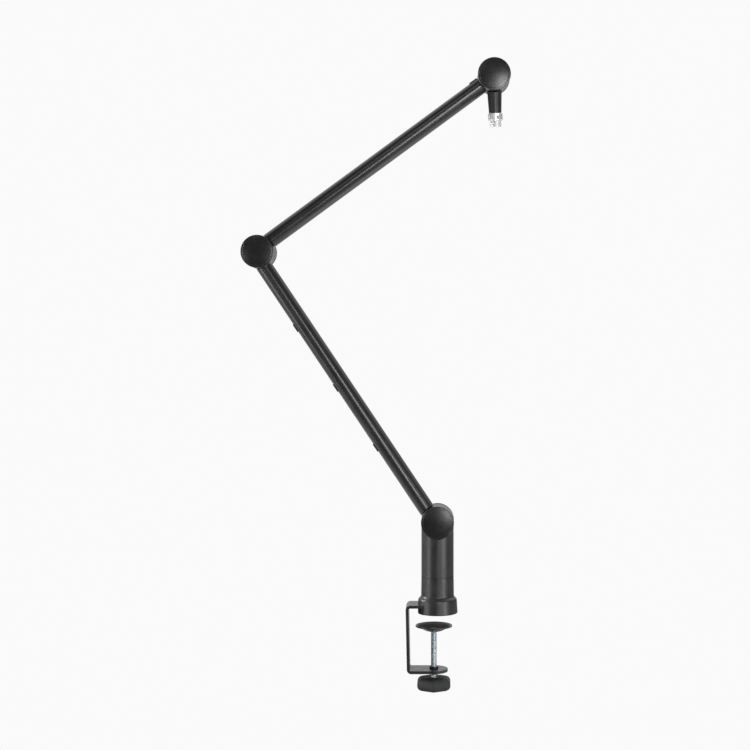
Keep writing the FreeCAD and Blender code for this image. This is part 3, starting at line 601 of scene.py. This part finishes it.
def turned_shape(
    corners: Sequence[Corner], closed: bool = False, steps: int = TURN_STEPS
) -> bmesh.types.BMesh:
    """Spins an outline about the local Z axis.

    Args:
        corners: The outline, each corner with its own round.
        closed: Whether the outline is a loop clear of the axis.
        steps: Faces round the axis.

    Returns:
        A closed shape in millimetres.
    """
    shape = bmesh.new()
    verts = [shape.verts.new((corner.radius, 0.0, corner.height)) for corner in corners]
    followers = verts[1:] + verts[:1] if closed else verts[1:]
    for start, end in zip(verts, followers):
        shape.edges.new((start, end))
    for corner, vert in zip(corners, verts):
        if corner.round:
            bmesh.ops.bevel(
                shape,
                geom=[vert],
                offset=corner.round,
                offset_type="OFFSET",
                segments=ROUND_STEPS,
                profile=0.5,
                affect="VERTICES",
                material=-1,
                clamp_overlap=True,
            )
    bmesh.ops.spin(
        shape,
        geom=shape.verts[:] + shape.edges[:],
        cent=(0, 0, 0),
        axis=(0, 0, 1),
        dvec=(0, 0, 0),
        angle=FULL_TURN,
        steps=steps,
        use_merge=True,
        use_normal_flip=False,
        use_duplicate=False,
    )
    return close_up(shape)


def plane_off(shape: bmesh.types.BMesh, spot: Vector, outwards: Vector) -> None:
    """Cuts away what lies outside a plane and closes the cut.

    Args:
        shape: The shape, whose cut has one rim.
        spot: A point of the plane, in millimetres.
        outwards: The plane's normal, out of the shape.
    """
    cut = bmesh.ops.bisect_plane(
        shape,
        geom=shape.verts[:] + shape.edges[:] + shape.faces[:],
        dist=CUT_MM,
        plane_co=spot,
        plane_no=outwards,
        clear_outer=True,
    )
    rim = [item for item in cut["geom_cut"] if isinstance(item, bmesh.types.BMEdge)]
    if rim:
        bmesh.ops.edgeloop_fill(shape, edges=rim)


def thread_shape(
    crest: float, pitch: float, depth: float, low: float, high: float, steps: int
) -> bmesh.types.BMesh:
    """A threaded rod between two heights.

    Args:
        crest: Outer radius.
        pitch: Rise in one turn.
        depth: Depth of the groove.
        low: Height of the lower end.
        high: Height of the upper end.
        steps: Faces in one turn.

    Returns:
        A closed shape in millimetres.
    """
    flat = pitch / 8  # at the crest, and twice that at the root
    root = crest - depth
    flank = (pitch - 3 * flat) / 2
    rise = [
        (root, 0.0),
        (root, 2 * flat),
        (crest, 2 * flat + flank),
        (crest, 3 * flat + flank),
        (root, pitch),
    ]
    turns = math.ceil((high - low) / pitch) + 2
    shape = bmesh.new()
    verts = [shape.verts.new((radius, 0.0, low - pitch + height)) for radius, height in rise]
    edges = [shape.edges.new(pair) for pair in zip(verts, verts[1:])]
    bmesh.ops.spin(
        shape,
        geom=verts + edges,
        cent=(0, 0, 0),
        axis=(0, 0, 1),
        dvec=(0, 0, pitch / steps),
        angle=FULL_TURN * turns,
        steps=steps * turns,
        use_merge=False,
        use_normal_flip=False,
        use_duplicate=False,
    )
    bmesh.ops.remove_doubles(shape, verts=shape.verts, dist=MERGE_MM)
    for height, outwards in ((low, -1), (high, 1)):
        plane_off(shape, Vector((0, 0, height)), Vector((0, 0, outwards)))
    return close_up(shape)


def sharp_edges(shape: bmesh.types.BMesh) -> list[bmesh.types.BMEdge]:
    """The outer edges of a shape that need a round. A round in an inner edge would add to the piece."""
    return [
        edge
        for edge in shape.edges
        if len(edge.link_faces) == 2 and edge.is_convex and edge.calc_face_angle(0.0) > SHARP_ANGLE
    ]


def merged_copy(node: str) -> bmesh.types.BMesh:
    """A copy of a frame node's mesh with its triangles merged to whole faces.

    Args:
        node: The node.

    Returns:
        A closed shape in millimetres, in the scene's own frame.
    """
    shape = bmesh.new()
    shape.from_mesh(frame["nodes"][node].data)
    shape.transform(Matrix.Scale(1 / MM, 4))
    bmesh.ops.remove_doubles(shape, verts=shape.verts, dist=MERGE_MM)
    bmesh.ops.dissolve_limit(
        shape,
        angle_limit=FLAT_ANGLE,
        use_dissolve_boundaries=False,
        verts=shape.verts,
        edges=shape.edges,
        delimit=set(),
    )
    return shape


def soften(shape: bmesh.types.BMesh, edge_round: float) -> bmesh.types.BMesh:
    """Rounds the sharp outer edges of a shape.

    Args:
        shape: The shape, right but for its edges.
        edge_round: The round, in millimetres.

    Returns:
        The same shape.
    """
    bmesh.ops.bevel(
        shape,
        geom=sharp_edges(shape),
        offset=edge_round,
        offset_type="OFFSET",
        segments=EDGE_STEPS,
        profile=0.5,
        affect="EDGES",
        material=-1,
        clamp_overlap=True,
    )
    if open_edges(shape):
        LOG.warning("a softened shape has %d open edges", open_edges(shape))
    return shape


def joined(shapes: Sequence[bmesh.types.BMesh]) -> bmesh.types.BMesh:
    """Puts several closed shapes into one."""
    whole = bmesh.new()
    for shape in shapes:
        part = bpy.data.meshes.new("part")
        shape.to_mesh(part)
        shape.free()
        whole.from_mesh(part)
        bpy.data.meshes.remove(part)
    return whole


# Places


def hinge_spot(joint: str) -> Vector:
    """Where a joint's axis is, in metres."""
    found = next(item for item in frame["joints"] if item["name"] == joint)
    return Vector(found["pos_m"])


def facing(spot: Vector, side: Side) -> Matrix:
    """A local frame on a hinge whose Z points out of one side of it."""
    return Matrix.Translation(spot) @ Matrix.Rotation(math.radians(side.value), 4, "X")


def along(start: Vector, direction: Vector) -> Matrix:
    """A local frame whose Z runs in a direction in the arm plane and whose Y is the hinge axis."""
    lean = math.atan2(direction.x, direction.z)
    return Matrix.Translation(start) @ Matrix.Rotation(lean, 4, "Y")


def extent(node: str, place: Matrix) -> tuple[Vector, Vector]:
    """The lowest and highest corner of a node in a local frame, in millimetres.

    Args:
        node: The frame node.
        place: The local frame, with its origin in metres.

    Returns:
        The two corners.
    """
    inverse = place.inverted()
    spots = [inverse @ vert.co for vert in frame["nodes"][node].data.vertices]
    low = Vector(min(spot[axis] for spot in spots) for axis in range(3))
    high = Vector(max(spot[axis] for spot in spots) for axis in range(3))
    return low / MM, high / MM


# Sub-assemblies


@dataclass
class Hinge:
    """One half-lap hinge: two domed caps, and the hardware between them."""

    name: str
    joint: str
    sprung: bool
    groove_height: float = 0.6
    groove_depth: float = 0.8
    groove_round: float = 0.25
    rim_round: float = 0.9
    rim_width: float = 2.4
    dome_step: float = 0.9
    dome_round: float = 0.6
    plug_radius: float = 12.95
    plug_wall: float = 2.0
    plug_depth: float = 3.0
    edge_rise: float = 3.4
    dome_steps: int = 9

    def cap(self, palette: Palette, side: Side) -> None:
        """Models the cap on one side: a flat ring and a shallow dome that stands proud of it.

        Args:
            palette: The materials.
            side: The side of the hinge.
        """
        node = f"{self.name}_{side.name.lower()}_cap"
        place = facing(hinge_spot(self.joint), side)
        low, high = extent(node, place)
        radius = high.x
        plug_end = low.z
        crown = high.z
        hub_face = plug_end + self.plug_depth
        edge = hub_face + self.edge_rise
        dome_edge = radius - self.rim_width
        dome = [
            Corner(dome_edge * share, crown - (crown - edge) * share ** 2)
            for share in (step / self.dome_steps for step in range(self.dome_steps))
        ]
        outline = dome + [
            Corner(dome_edge, edge, self.dome_round),
            Corner(dome_edge, edge - self.dome_step),
            Corner(radius, edge - self.dome_step, self.rim_round),
            Corner(radius, hub_face + self.groove_height, self.groove_round),
            Corner(radius - self.groove_depth, hub_face + self.groove_height),
            Corner(radius - self.groove_depth, hub_face),
            Corner(self.plug_radius, hub_face),
            Corner(self.plug_radius, plug_end),
            Corner(self.plug_radius - self.plug_wall, plug_end),
            Corner(self.plug_radius - self.plug_wall, hub_face + self.groove_height),
            Corner(0.0, hub_face + self.groove_height),
        ]
        palette.add_piece(turned_shape(outline), node, place, Slot.HINGE_CAP)

    def build(self, palette: Palette) -> None:
        """Models both caps and dresses the hidden hardware."""
        for side in Side:
            self.cap(palette, side)
        palette.dress_node(f"{self.name}_hinge_bolt", Slot.ZINC_STEEL)
        palette.dress_node(f"{self.name}_hinge_nut", Slot.ZINC_STEEL)
        palette.dress_node(f"{self.name}_disc_spring", Slot.SPRING_STEEL)
        palette.dress_node(f"{self.name}_friction_ring", Slot.FRICTION_PLASTIC)
        if self.sprung:
            palette.dress_node(f"{self.name}_torsion_spring", Slot.SPRING_STEEL)


@dataclass
class Arm:
    """One arm: tube, two cast knuckles, grub screws and cable clips."""

    name: str
    tube_edge: float = 0.35
    knuckle_edge: float = 0.6
    clip_edge: float = 0.45
    screw_edge: float = 0.15

    def build(self, palette: Palette) -> None:
        """Models the arm's pieces with softened edges."""
        pieces = (
            ("tube", self.tube_edge, Slot.ARM_TUBE),
            ("root_knuckle", self.knuckle_edge, Slot.CAST_BODY),
            ("head_knuckle", self.knuckle_edge, Slot.CAST_BODY),
            ("cable_clips", self.clip_edge, Slot.CLIP),
            ("grub_screws", self.screw_edge, Slot.BLACK_SCREW),
        )
        for suffix, edge_round, slot in pieces:
            node = f"{self.name}_{suffix}"
            palette.add_piece(soften(merged_copy(node), edge_round), node, Matrix.Identity(4), slot)


@dataclass
class Post:
    """The swivel post with its bearing, spindle and collar."""

    housing_edge: float = 0.6
    feather_start: float = 0.2  # the saddle's thin edges lie behind this Y, outside this radius
    feather_radius: float = 21.5
    feather_top: float = 120.4
    collar_edge: float = 0.5
    screw_edge: float = 0.15

    def housing(self, palette: Palette) -> None:
        """Models the post. Its saddle's thin upper edges are blunted, so that the arm's neck clears them."""
        shape = merged_copy("post_housing")
        for vert in shape.verts:
            outer = vert.co.y > self.feather_start and vert.co.xy.length > self.feather_radius
            if outer and vert.co.z > self.feather_top:
                vert.co.z = self.feather_top
        soften(shape, self.housing_edge)
        palette.add_piece(shape, "post_housing", Matrix.Identity(4), Slot.CAST_BODY)

    def build(self, palette: Palette) -> None:
        """Models the post and collar and dresses the swivel hidden inside."""
        self.housing(palette)
        pieces = (
            ("base_collar", self.collar_edge, Slot.CAST_BODY),
            ("post_grub_screw", self.screw_edge, Slot.BLACK_SCREW),
        )
        for node, edge_round, slot in pieces:
            palette.add_piece(soften(merged_copy(node), edge_round), node, Matrix.Identity(4), slot)
        palette.dress_node("swivel_bearing", Slot.BEARING_BRONZE)
        palette.dress_node("swivel_spindle", Slot.ZINC_STEEL)
        palette.dress_node("swivel_nut", Slot.ZINC_STEEL)
        palette.dress_node("swivel_disc_spring", Slot.SPRING_STEEL)
        palette.dress_node("swivel_washer", Slot.FRICTION_PLASTIC)


@dataclass
class DeskClamp:
    """The strap, its pad and bush, and the screw with its plate and knob."""

    strap_edge: float = 0.7
    pad_edge: float = 0.8
    bush_edge: float = 0.4
    screw_radius: float = 4.0
    pitch: float = 1.25
    thread_depth: float = 0.28  # rolled, with worn crests
    thread_steps: int = 28
    neck_radius: float = 3.0
    neck_sink: float = 1.0
    neck_steps: int = 48
    plate_gap: float = 0.15
    rivet_radius: float = 5.5
    rivet_rise: float = 1.8
    rivet_slope: float = 0.4
    rivet_rounds: tuple[float, float, float] = (0.3, 0.9, 0.4)  # foot, shoulder, dimple
    dimple_radius: float = 1.6
    dimple_depth: float = 0.5
    plate_sheet: float = 1.5
    plate_brim: float = 18.5
    plate_floor: float = 10.5
    plate_hole: float = 3.15
    plate_edge: float = 1.8
    plate_brim_depth: float = 3.6
    plate_lip: float = 1.2
    plate_ledge: tuple[float, float] = (21.8, 1.5)
    plate_bowl: tuple[float, float] = (18.6, 2.0)
    plate_well: float = 11.6
    plate_rim_round: float = 0.4
    plate_under_rounds: tuple[float, float] = (3.0, 1.5)  # floor, brim
    plate_bowl_round: float = 0.8
    plate_well_round: float = 1.0
    plate_hole_round: float = 0.3
    face_sheet: float = 0.4
    face_sink: float = 0.1
    face_gap: float = 0.3
    face_hole: float = 5.8
    face_edge_round: float = 0.2
    face_bowl_round: float = 1.0
    face_well_round: float = 1.5
    knob_flats: float = 45.0
    knob_round: float = 7.6
    knob_end: float = 17.0
    knob_radius: float = 25.4
    knob_steps: int = 7

    def screw_axis(self) -> Matrix:
        """The local frame of the screw, with its origin in the plane of the desk top."""
        spot = hinge_spot("screw_turn")
        return Matrix.Translation((spot.x, spot.y, 0.0))

    def screw(self, palette: Palette) -> None:
        """Models the screw: a rolled thread, a neck through the plate and a peened end over it."""
        axis = self.screw_axis()
        low, high = extent("clamp_screw", axis)
        plate_low = extent("pressure_plate", axis)[0].z
        shank_top = plate_low - self.plate_gap
        rivet_foot = high.z - self.rivet_rise
        rod = thread_shape(
            self.screw_radius, self.pitch, self.thread_depth, low.z, shank_top, self.thread_steps
        )
        palette.add_piece(rod, "clamp_screw", axis, Slot.ZINC_STEEL)
        neck_foot = shank_top - self.neck_sink
        foot_round, shoulder_round, dimple_round = self.rivet_rounds
        neck = turned_shape(
            [
                Corner(0.0, neck_foot),
                Corner(self.neck_radius, neck_foot),
                Corner(self.neck_radius, rivet_foot),
                Corner(self.rivet_radius, rivet_foot, foot_round),
                Corner(self.rivet_radius - self.rivet_rise * self.rivet_slope, high.z, shoulder_round),
                Corner(self.dimple_radius, high.z, dimple_round),
                Corner(0.0, high.z - self.dimple_depth),
            ],
            steps=self.neck_steps,
        )
        palette.add_piece(neck, "clamp_screw", axis, Slot.BLACK_SCREW, "clamp_screw_rivet")

    def plate(self, palette: Palette) -> None:
        """Models the pressure plate, a dish with a raised rim and a ledge, and the rubber face in it."""
        axis = self.screw_axis()
        low, high = extent("pressure_plate", axis)
        rim = high.x
        floor_top = low.z + self.plate_sheet
        ledge, ledge_depth = self.plate_ledge
        bowl, bowl_depth = self.plate_bowl
        ledge_top = high.z - ledge_depth
        bowl_top = high.z - bowl_depth
        floor_round, brim_round = self.plate_under_rounds
        outline = [
            Corner(self.plate_hole, low.z),
            Corner(self.plate_floor, low.z, floor_round),
            Corner(self.plate_brim, high.z - self.plate_brim_depth, brim_round),
            Corner(rim, high.z - self.plate_edge, self.plate_rim_round),
            Corner(rim, high.z, self.plate_rim_round),
            Corner(rim - self.plate_lip, high.z, self.plate_rim_round),
            Corner(ledge, ledge_top, self.plate_bowl_round),
            Corner(bowl, bowl_top, self.plate_bowl_round),
            Corner(self.plate_well, floor_top, self.plate_well_round),
            Corner(self.plate_hole, floor_top, self.plate_hole_round),
        ]
        dish = turned_shape(outline, closed=True)
        palette.add_piece(dish, "pressure_plate", axis, Slot.CLAMP_STRAP)
        face_rim = ledge - self.face_gap
        face_outline = [
            Corner(self.face_hole, floor_top - self.face_sink),
            Corner(self.plate_well, floor_top - self.face_sink),
            Corner(bowl, bowl_top - self.face_sink),
            Corner(face_rim, ledge_top - self.face_sink),
            Corner(face_rim, ledge_top + self.face_sheet, self.face_edge_round),
            Corner(bowl, bowl_top + self.face_sheet, self.face_bowl_round),
            Corner(self.plate_well, floor_top + self.face_sheet, self.face_well_round),
            Corner(self.face_hole, floor_top + self.face_sheet, self.face_edge_round),
        ]
        face = turned_shape(face_outline, closed=True)
        palette.add_piece(face, "pressure_plate", axis, Slot.PAD, "pressure_plate_face")

    def knob(self, palette: Palette) -> None:
        """Models the six-sided knob: a turned barrel cut to six flats that roll over at top and bottom."""
        low, high = extent("screw_knob", self.screw_axis())
        middle = (low.z + high.z) / 2
        half = (high.z - low.z) / 2
        straight = half - self.knob_round
        inset = self.knob_flats / 2 - self.knob_round
        reach = self.knob_radius - self.knob_end
        tilts = [
            math.pi / 2 * step / self.knob_steps for step in range(-self.knob_steps, self.knob_steps + 1)
        ]
        lifts = [math.copysign(straight, tilt) if tilt else 0.0 for tilt in tilts]
        side = [
            Corner(self.knob_end + reach * math.cos(tilt), middle + lift + self.knob_round * math.sin(tilt))
            for tilt, lift in zip(tilts, lifts)
        ]
        shape = turned_shape([Corner(0.0, low.z), *side, Corner(0.0, high.z)])
        for turn in range(HEX_SIDES):
            heading = Matrix.Rotation(FULL_TURN * turn / HEX_SIDES, 3, "Z")
            for tilt, lift in zip(tilts[1:-1], lifts[1:-1]):
                out = heading @ Vector((math.cos(tilt), 0, math.sin(tilt)))
                foot = heading @ Vector((inset, 0, middle + lift))
                plane_off(shape, foot + out * self.knob_round, out)
        palette.add_piece(close_up(shape), "screw_knob", self.screw_axis(), Slot.KNOB)

    def build(self, palette: Palette) -> None:
        """Models the whole clamp."""
        pieces = (
            ("clamp_bracket", self.strap_edge, Slot.CLAMP_STRAP),
            ("desk_pad", self.pad_edge, Slot.PAD),
            ("clamp_nut", self.bush_edge, Slot.BLACK_SCREW),
        )
        for node, edge_round, slot in pieces:
            palette.add_piece(soften(merged_copy(node), edge_round), node, Matrix.Identity(4), slot)
        self.screw(palette)
        self.plate(palette)
        self.knob(palette)


@dataclass
class MicrophoneEnd:
    """The mount with its tapered stub, the stud in it and the bright thread adapter."""

    mount_edge: float = 0.4
    pitch: float = 25.4 / 27  # 27 threads to the inch
    thread_radius: float = 15.875 / 2  # 5/8 inch
    thread_depth: float = 0.45
    hole_radius: float = 1.25
    hole_depth: float = 3.0
    hole_angle: float = -17.0  # degrees round the stub from the front
    hole_facing: float = 0.5  # faces of the mouth look out at least this much
    bore: float = 4.8
    flange_length: float = 9.3
    overlap: float = 0.5  # of the thread in the flange
    edge: float = 0.6
    thread_steps: int = 64

    def stub_axis(self) -> Matrix:
        """The local frame at the tip hinge, with Z out along the stub and the thread."""
        mount = next(item for item in frame["record"]["mounts"] if item["name"] == "mic_thread")
        return along(hinge_spot("tip_hinge"), Vector(mount["axis"]))

    def adapter(self, palette: Palette) -> None:
        """Models the adapter: a flange with broken edges and a fine thread below it."""
        low, high = extent("thread_adapter", self.stub_axis())
        shoulder = low.z + self.flange_length
        flange = turned_shape(
            [
                Corner(self.bore, low.z),
                Corner(high.x, low.z, self.edge),
                Corner(high.x, shoulder, self.edge),
                Corner(self.thread_radius - self.pitch, shoulder),
                Corner(self.bore, shoulder),
            ],
            closed=True,
        )
        self.lock_hole(flange, (low.z + shoulder) / 2)
        rod = thread_shape(
            self.thread_radius,
            self.pitch,
            self.thread_depth,
            shoulder - self.overlap,
            high.z,
            self.thread_steps,
        )
        palette.add_piece(joined([flange, rod]), "thread_adapter", self.stub_axis(), Slot.BRIGHT_NICKEL)

    def lock_hole(self, flange: bmesh.types.BMesh, height: float) -> None:
        """Sinks the small hole for a lock pin into the flange.

        Args:
            flange: The turned flange, in the stub's own frame.
            height: Where the hole is along the stub.
        """
        for level in (-self.hole_radius, -self.hole_radius / 2, self.hole_radius / 2, self.hole_radius):
            bmesh.ops.bisect_plane(
                flange,
                geom=flange.verts[:] + flange.edges[:] + flange.faces[:],
                dist=CUT_MM,
                plane_co=(0, 0, height + level),
                plane_no=(0, 0, 1),
            )
        heading = math.radians(self.hole_angle)
        out = Vector((math.sin(heading), -math.cos(heading), 0))
        across = Vector((math.cos(heading), math.sin(heading), 0))
        mouth = []
        for face in flange.faces:
            middle = face.calc_center_median()
            spread = math.hypot(middle.dot(across), middle.z - height)
            outside = middle.dot(out) > self.bore and face.normal.dot(out) > self.hole_facing
            if outside and spread < self.hole_radius:
                mouth.append(face)
        sunk = bmesh.ops.extrude_face_region(flange, geom=mouth)["geom"]
        bmesh.ops.translate(
            flange,
            verts=[item for item in sunk if isinstance(item, bmesh.types.BMVert)],
            vec=-out * self.hole_depth,
        )
        bmesh.ops.delete(flange, geom=mouth, context="FACES")

    def build(self, palette: Palette) -> None:
        """Models the mount and the adapter and dresses the stud."""
        mount = soften(merged_copy("mic_mount"), self.mount_edge)
        palette.add_piece(mount, "mic_mount", Matrix.Identity(4), Slot.CAST_BODY)
        palette.dress_node("mic_stud", Slot.ZINC_STEEL)
        self.adapter(palette)


# Studio


@dataclass(frozen=True)
class Softbox:
    """A soft light that faces the middle of the object. Lengths are in metres, angles in degrees."""

    name: str
    azimuth: float
    elevation: float
    width: float
    height: float
    brightness: float
    distance: float = 2.2

    def build(self, target: Vector) -> None:
        """Hangs the light.

        Args:
            target: The point that it faces, in metres.
        """
        turn, rise = math.radians(self.azimuth), math.radians(self.elevation)
        away = Vector(
            (math.sin(turn) * math.cos(rise), -math.cos(turn) * math.cos(rise), math.sin(rise))
        )
        lamp = bpy.data.lights.new(self.name, "AREA")
        lamp.shape = "RECTANGLE"
        lamp.size = self.width
        lamp.size_y = self.height
        lamp.energy = self.brightness * math.pi * self.width * self.height
        item = bpy.data.objects.new(self.name, lamp)
        item.location = target + away * self.distance
        item.rotation_euler = (-away).to_track_quat("-Z", "Y").to_euler()
        item.visible_camera = False
        bpy.context.scene.collection.objects.link(item)


@dataclass
class Studio:
    """Camera, softboxes, surroundings, floor and black card.

    Lengths are in metres, the sensor's width in millimetres, and the focal length and the principal
    point in pixels. The ranges are along Y or Z of a direction.
    """

    image_width: float = 750.0
    focal_pixels: float = 1452.0
    principal: tuple[float, float] = (447.0, 340.0)
    camera_spot: tuple[float, float, float] = (0.0129, -1.979, 0.3718)
    sensor: float = 36.0
    white: float = 0.956
    room_level: float = 0.1
    side_level: float = 0.15
    sky_level: float = 1.5
    floor_level: float = 0.6
    behind_range: tuple[float, float] = (-0.5, 0.35)
    paper_range: tuple[float, float] = (0.15, 0.7)
    backdrop_range: tuple[float, float] = (0.85, 0.97)
    below_range: tuple[float, float] = (-0.3, -0.9)
    floor_height: float = -0.72
    floor_radius: float = 1.75
    floor_fade: float = 0.9
    floor_colour: str = "#dededc"
    card_colour: str = "#0b0b0b"
    card_size: float = 0.5
    card_height: float = -0.2
    softboxes: tuple[Softbox, ...] = (
        Softbox("key", azimuth=15, elevation=5, width=0.38, height=0.95, brightness=15.0),
        Softbox("right_panel", azimuth=46, elevation=-4, width=0.9, height=0.9, brightness=9.0),
        Softbox("left_rim", azimuth=-100, elevation=15, width=0.5, height=1.3, brightness=22.0),
        Softbox("left_panel", azimuth=-65, elevation=-12, width=0.9, height=1.1, brightness=4.4),
        Softbox("left_fill", azimuth=-34, elevation=2, width=0.8, height=0.4, brightness=3.0),
        Softbox("high_strip", azimuth=-15, elevation=36, width=0.4, height=0.8, brightness=2.3),
        Softbox("low_card", azimuth=95, elevation=-52, width=0.9, height=0.6, brightness=1.5, distance=1.0),
    )

    def camera(self) -> None:
        """Places the camera square to the arm plane, with the picture's own framing."""
        data = bpy.data.cameras.new("camera")
        data.sensor_width = self.sensor
        data.lens = self.focal_pixels / self.image_width * self.sensor
        data.shift_x = 0.5 - self.principal[0] / self.image_width
        data.shift_y = self.principal[1] / self.image_width - 0.5
        item = bpy.data.objects.new("camera", data)
        item.location = self.camera_spot
        item.rotation_euler = (math.pi / 2, 0, 0)
        bpy.context.scene.collection.objects.link(item)
        bpy.context.scene.camera = item

    def surroundings(self) -> None:
        """White paper above, below and behind, and a dark room in front.

        The camera, and the gloss that mirrors the backdrop, see a plain white.
        """
        world = bpy.data.worlds.new("surroundings")
        world.use_nodes = True
        tree = world.node_tree
        tree.nodes.clear()
        direction = add_node(tree, "ShaderNodeTexCoord")
        axes = add_node(tree, "ShaderNodeSeparateXYZ", {"Vector": (direction, "Generated")})
        path = add_node(tree, "ShaderNodeLightPath")
        behind = add_node(
            tree,
            "ShaderNodeMapRange",
            {"Value": (axes, "Y"), **between(self.behind_range)},
            interpolation_type="SMOOTHSTEP",
        )
        off_level = add_node(tree, "ShaderNodeMath", {"Value": (axes, "Z")}, operation="ABSOLUTE")
        paper = add_node(
            tree,
            "ShaderNodeMapRange",
            {
                "Value": (off_level, "Value"),
                **between(self.paper_range),
                "To Min": self.side_level,
                "To Max": self.sky_level,
            },
        )
        backdrop = add_node(
            tree,
            "ShaderNodeMapRange",
            {"Value": (axes, "Y"), **between(self.backdrop_range)},
            interpolation_type="SMOOTHSTEP",
        )
        back = add_node(
            tree,
            "ShaderNodeMath",
            {"Value": (behind, "Result"), "Value_001": (paper, "Result"), "Value_002": self.room_level},
            operation="MULTIPLY_ADD",
        )
        below = add_node(
            tree,
            "ShaderNodeMapRange",
            {"Value": (axes, "Z"), **between(self.below_range), "To Max": self.floor_level},
            interpolation_type="SMOOTHSTEP",
        )
        level = add_node(
            tree,
            "ShaderNodeMath",
            {"Value": (back, "Value"), "Value_001": (below, "Result")},
            operation="MAXIMUM",
        )
        mirrored = add_node(
            tree,
            "ShaderNodeMath",
            {"Value": (path, "Is Glossy Ray"), "Value_001": (backdrop, "Result")},
            operation="MULTIPLY",
        )
        direct = add_node(
            tree,
            "ShaderNodeMath",
            {"Value": (path, "Is Camera Ray"), "Value_001": (path, "Is Transmission Ray")},
            operation="MAXIMUM",
        )
        seen = add_node(
            tree,
            "ShaderNodeMath",
            {"Value": (direct, "Value"), "Value_001": (mirrored, "Value")},
            operation="MAXIMUM",
        )
        strength = add_node(
            tree,
            "ShaderNodeMix",
            {"Factor_Float": (seen, "Value"), "A_Float": (level, "Value"), "B_Float": self.white},
        )
        light = add_node(
            tree, "ShaderNodeBackground", {"Color": WHITE, "Strength": (strength, "Result_Float")}
        )
        add_node(tree, "ShaderNodeOutputWorld", {"Surface": (light, "Background")})
        bpy.context.scene.world = world

    @staticmethod
    def lay(
        name: str, shape: bmesh.types.BMesh, height: float, material: bpy.types.Material
    ) -> bpy.types.Object:
        """Lays a flat shape of the studio at a height, in metres.

        Args:
            name: Its name.
            shape: The shape, in the plane Z = 0.
            height: Where it lies.
            material: What it is made of.

        Returns:
            The object, which isn't part of the model.
        """
        bmesh.ops.translate(shape, verts=shape.verts, vec=(0, 0, height))
        mesh = bpy.data.meshes.new(name)
        shape.to_mesh(mesh)
        shape.free()
        mesh.materials.append(material)
        item = bpy.data.objects.new(name, mesh)
        bpy.context.scene.collection.objects.link(item)
        return item

    def floor(self) -> None:
        """A pale floor below the desk clamp that fades out into the white before its edge."""
        shape = bmesh.new()
        bmesh.ops.create_circle(shape, cap_ends=True, segments=TURN_STEPS, radius=self.floor_radius)
        material, tree = empty_material("pale_floor_paint")
        place = add_node(tree, "ShaderNodeTexCoord")
        flat = add_node(
            tree,
            "ShaderNodeVectorMath",
            {"Vector": (place, "Object"), "Vector_001": (1.0, 1.0, 0.0)},
            operation="MULTIPLY",
        )
        reach = add_node(tree, "ShaderNodeVectorMath", {"Vector": (flat, "Vector")}, operation="LENGTH")
        fade = add_node(
            tree,
            "ShaderNodeMapRange",
            {"Value": (reach, "Value"), **between((self.floor_fade, self.floor_radius))},
            interpolation_type="SMOOTHSTEP",
        )
        paint = add_node(tree, "ShaderNodeBsdfDiffuse", {"Color": linear(self.floor_colour)})
        clear = add_node(tree, "ShaderNodeBsdfTransparent")
        mixed = add_node(
            tree,
            "ShaderNodeMixShader",
            {"Fac": (fade, "Result"), "Shader": (paint, "BSDF"), "Shader_001": (clear, "BSDF")},
        )
        add_node(tree, "ShaderNodeOutputMaterial", {"Surface": (mixed, "Shader")})
        self.lay("floor", shape, self.floor_height, material)

    def black_card(self) -> None:
        """A black card under the clamp that only its gloss mirrors, so that its undersides stay dark."""
        shape = bmesh.new()
        bmesh.ops.create_grid(shape, x_segments=1, y_segments=1, size=self.card_size / 2)
        material, tree = empty_material("black_card_paper")
        paper = add_node(tree, "ShaderNodeBsdfDiffuse", {"Color": linear(self.card_colour)})
        add_node(tree, "ShaderNodeOutputMaterial", {"Surface": (paper, "BSDF")})
        item = self.lay("black_card", shape, self.card_height, material)
        item.visible_camera = False
        item.visible_shadow = False
        item.visible_diffuse = False

    def build(self) -> None:
        """Sets up the whole studio."""
        bpy.context.scene.view_settings.view_transform = "Standard"
        self.camera()
        self.surroundings()
        self.floor()
        self.black_card()
        middle = (CAD_BOX[0] + CAD_BOX[1]) / 2
        for softbox in self.softboxes:
            softbox.build(middle)


def main() -> None:
    """Builds the studio and every sub-assembly."""
    logging.basicConfig(level=logging.INFO, format="%(name)s: %(message)s")
    Studio().build()
    palette = Palette()
    DeskClamp().build(palette)
    Post().build(palette)
    for name in ("lower_arm", "upper_arm"):
        Arm(name).build(palette)
    for name, sprung in (("base", True), ("elbow", True), ("tip", False)):
        Hinge(name, f"{name}_hinge", sprung).build(palette)
    MicrophoneEnd().build(palette)


if __name__ == "__main__":
    main()
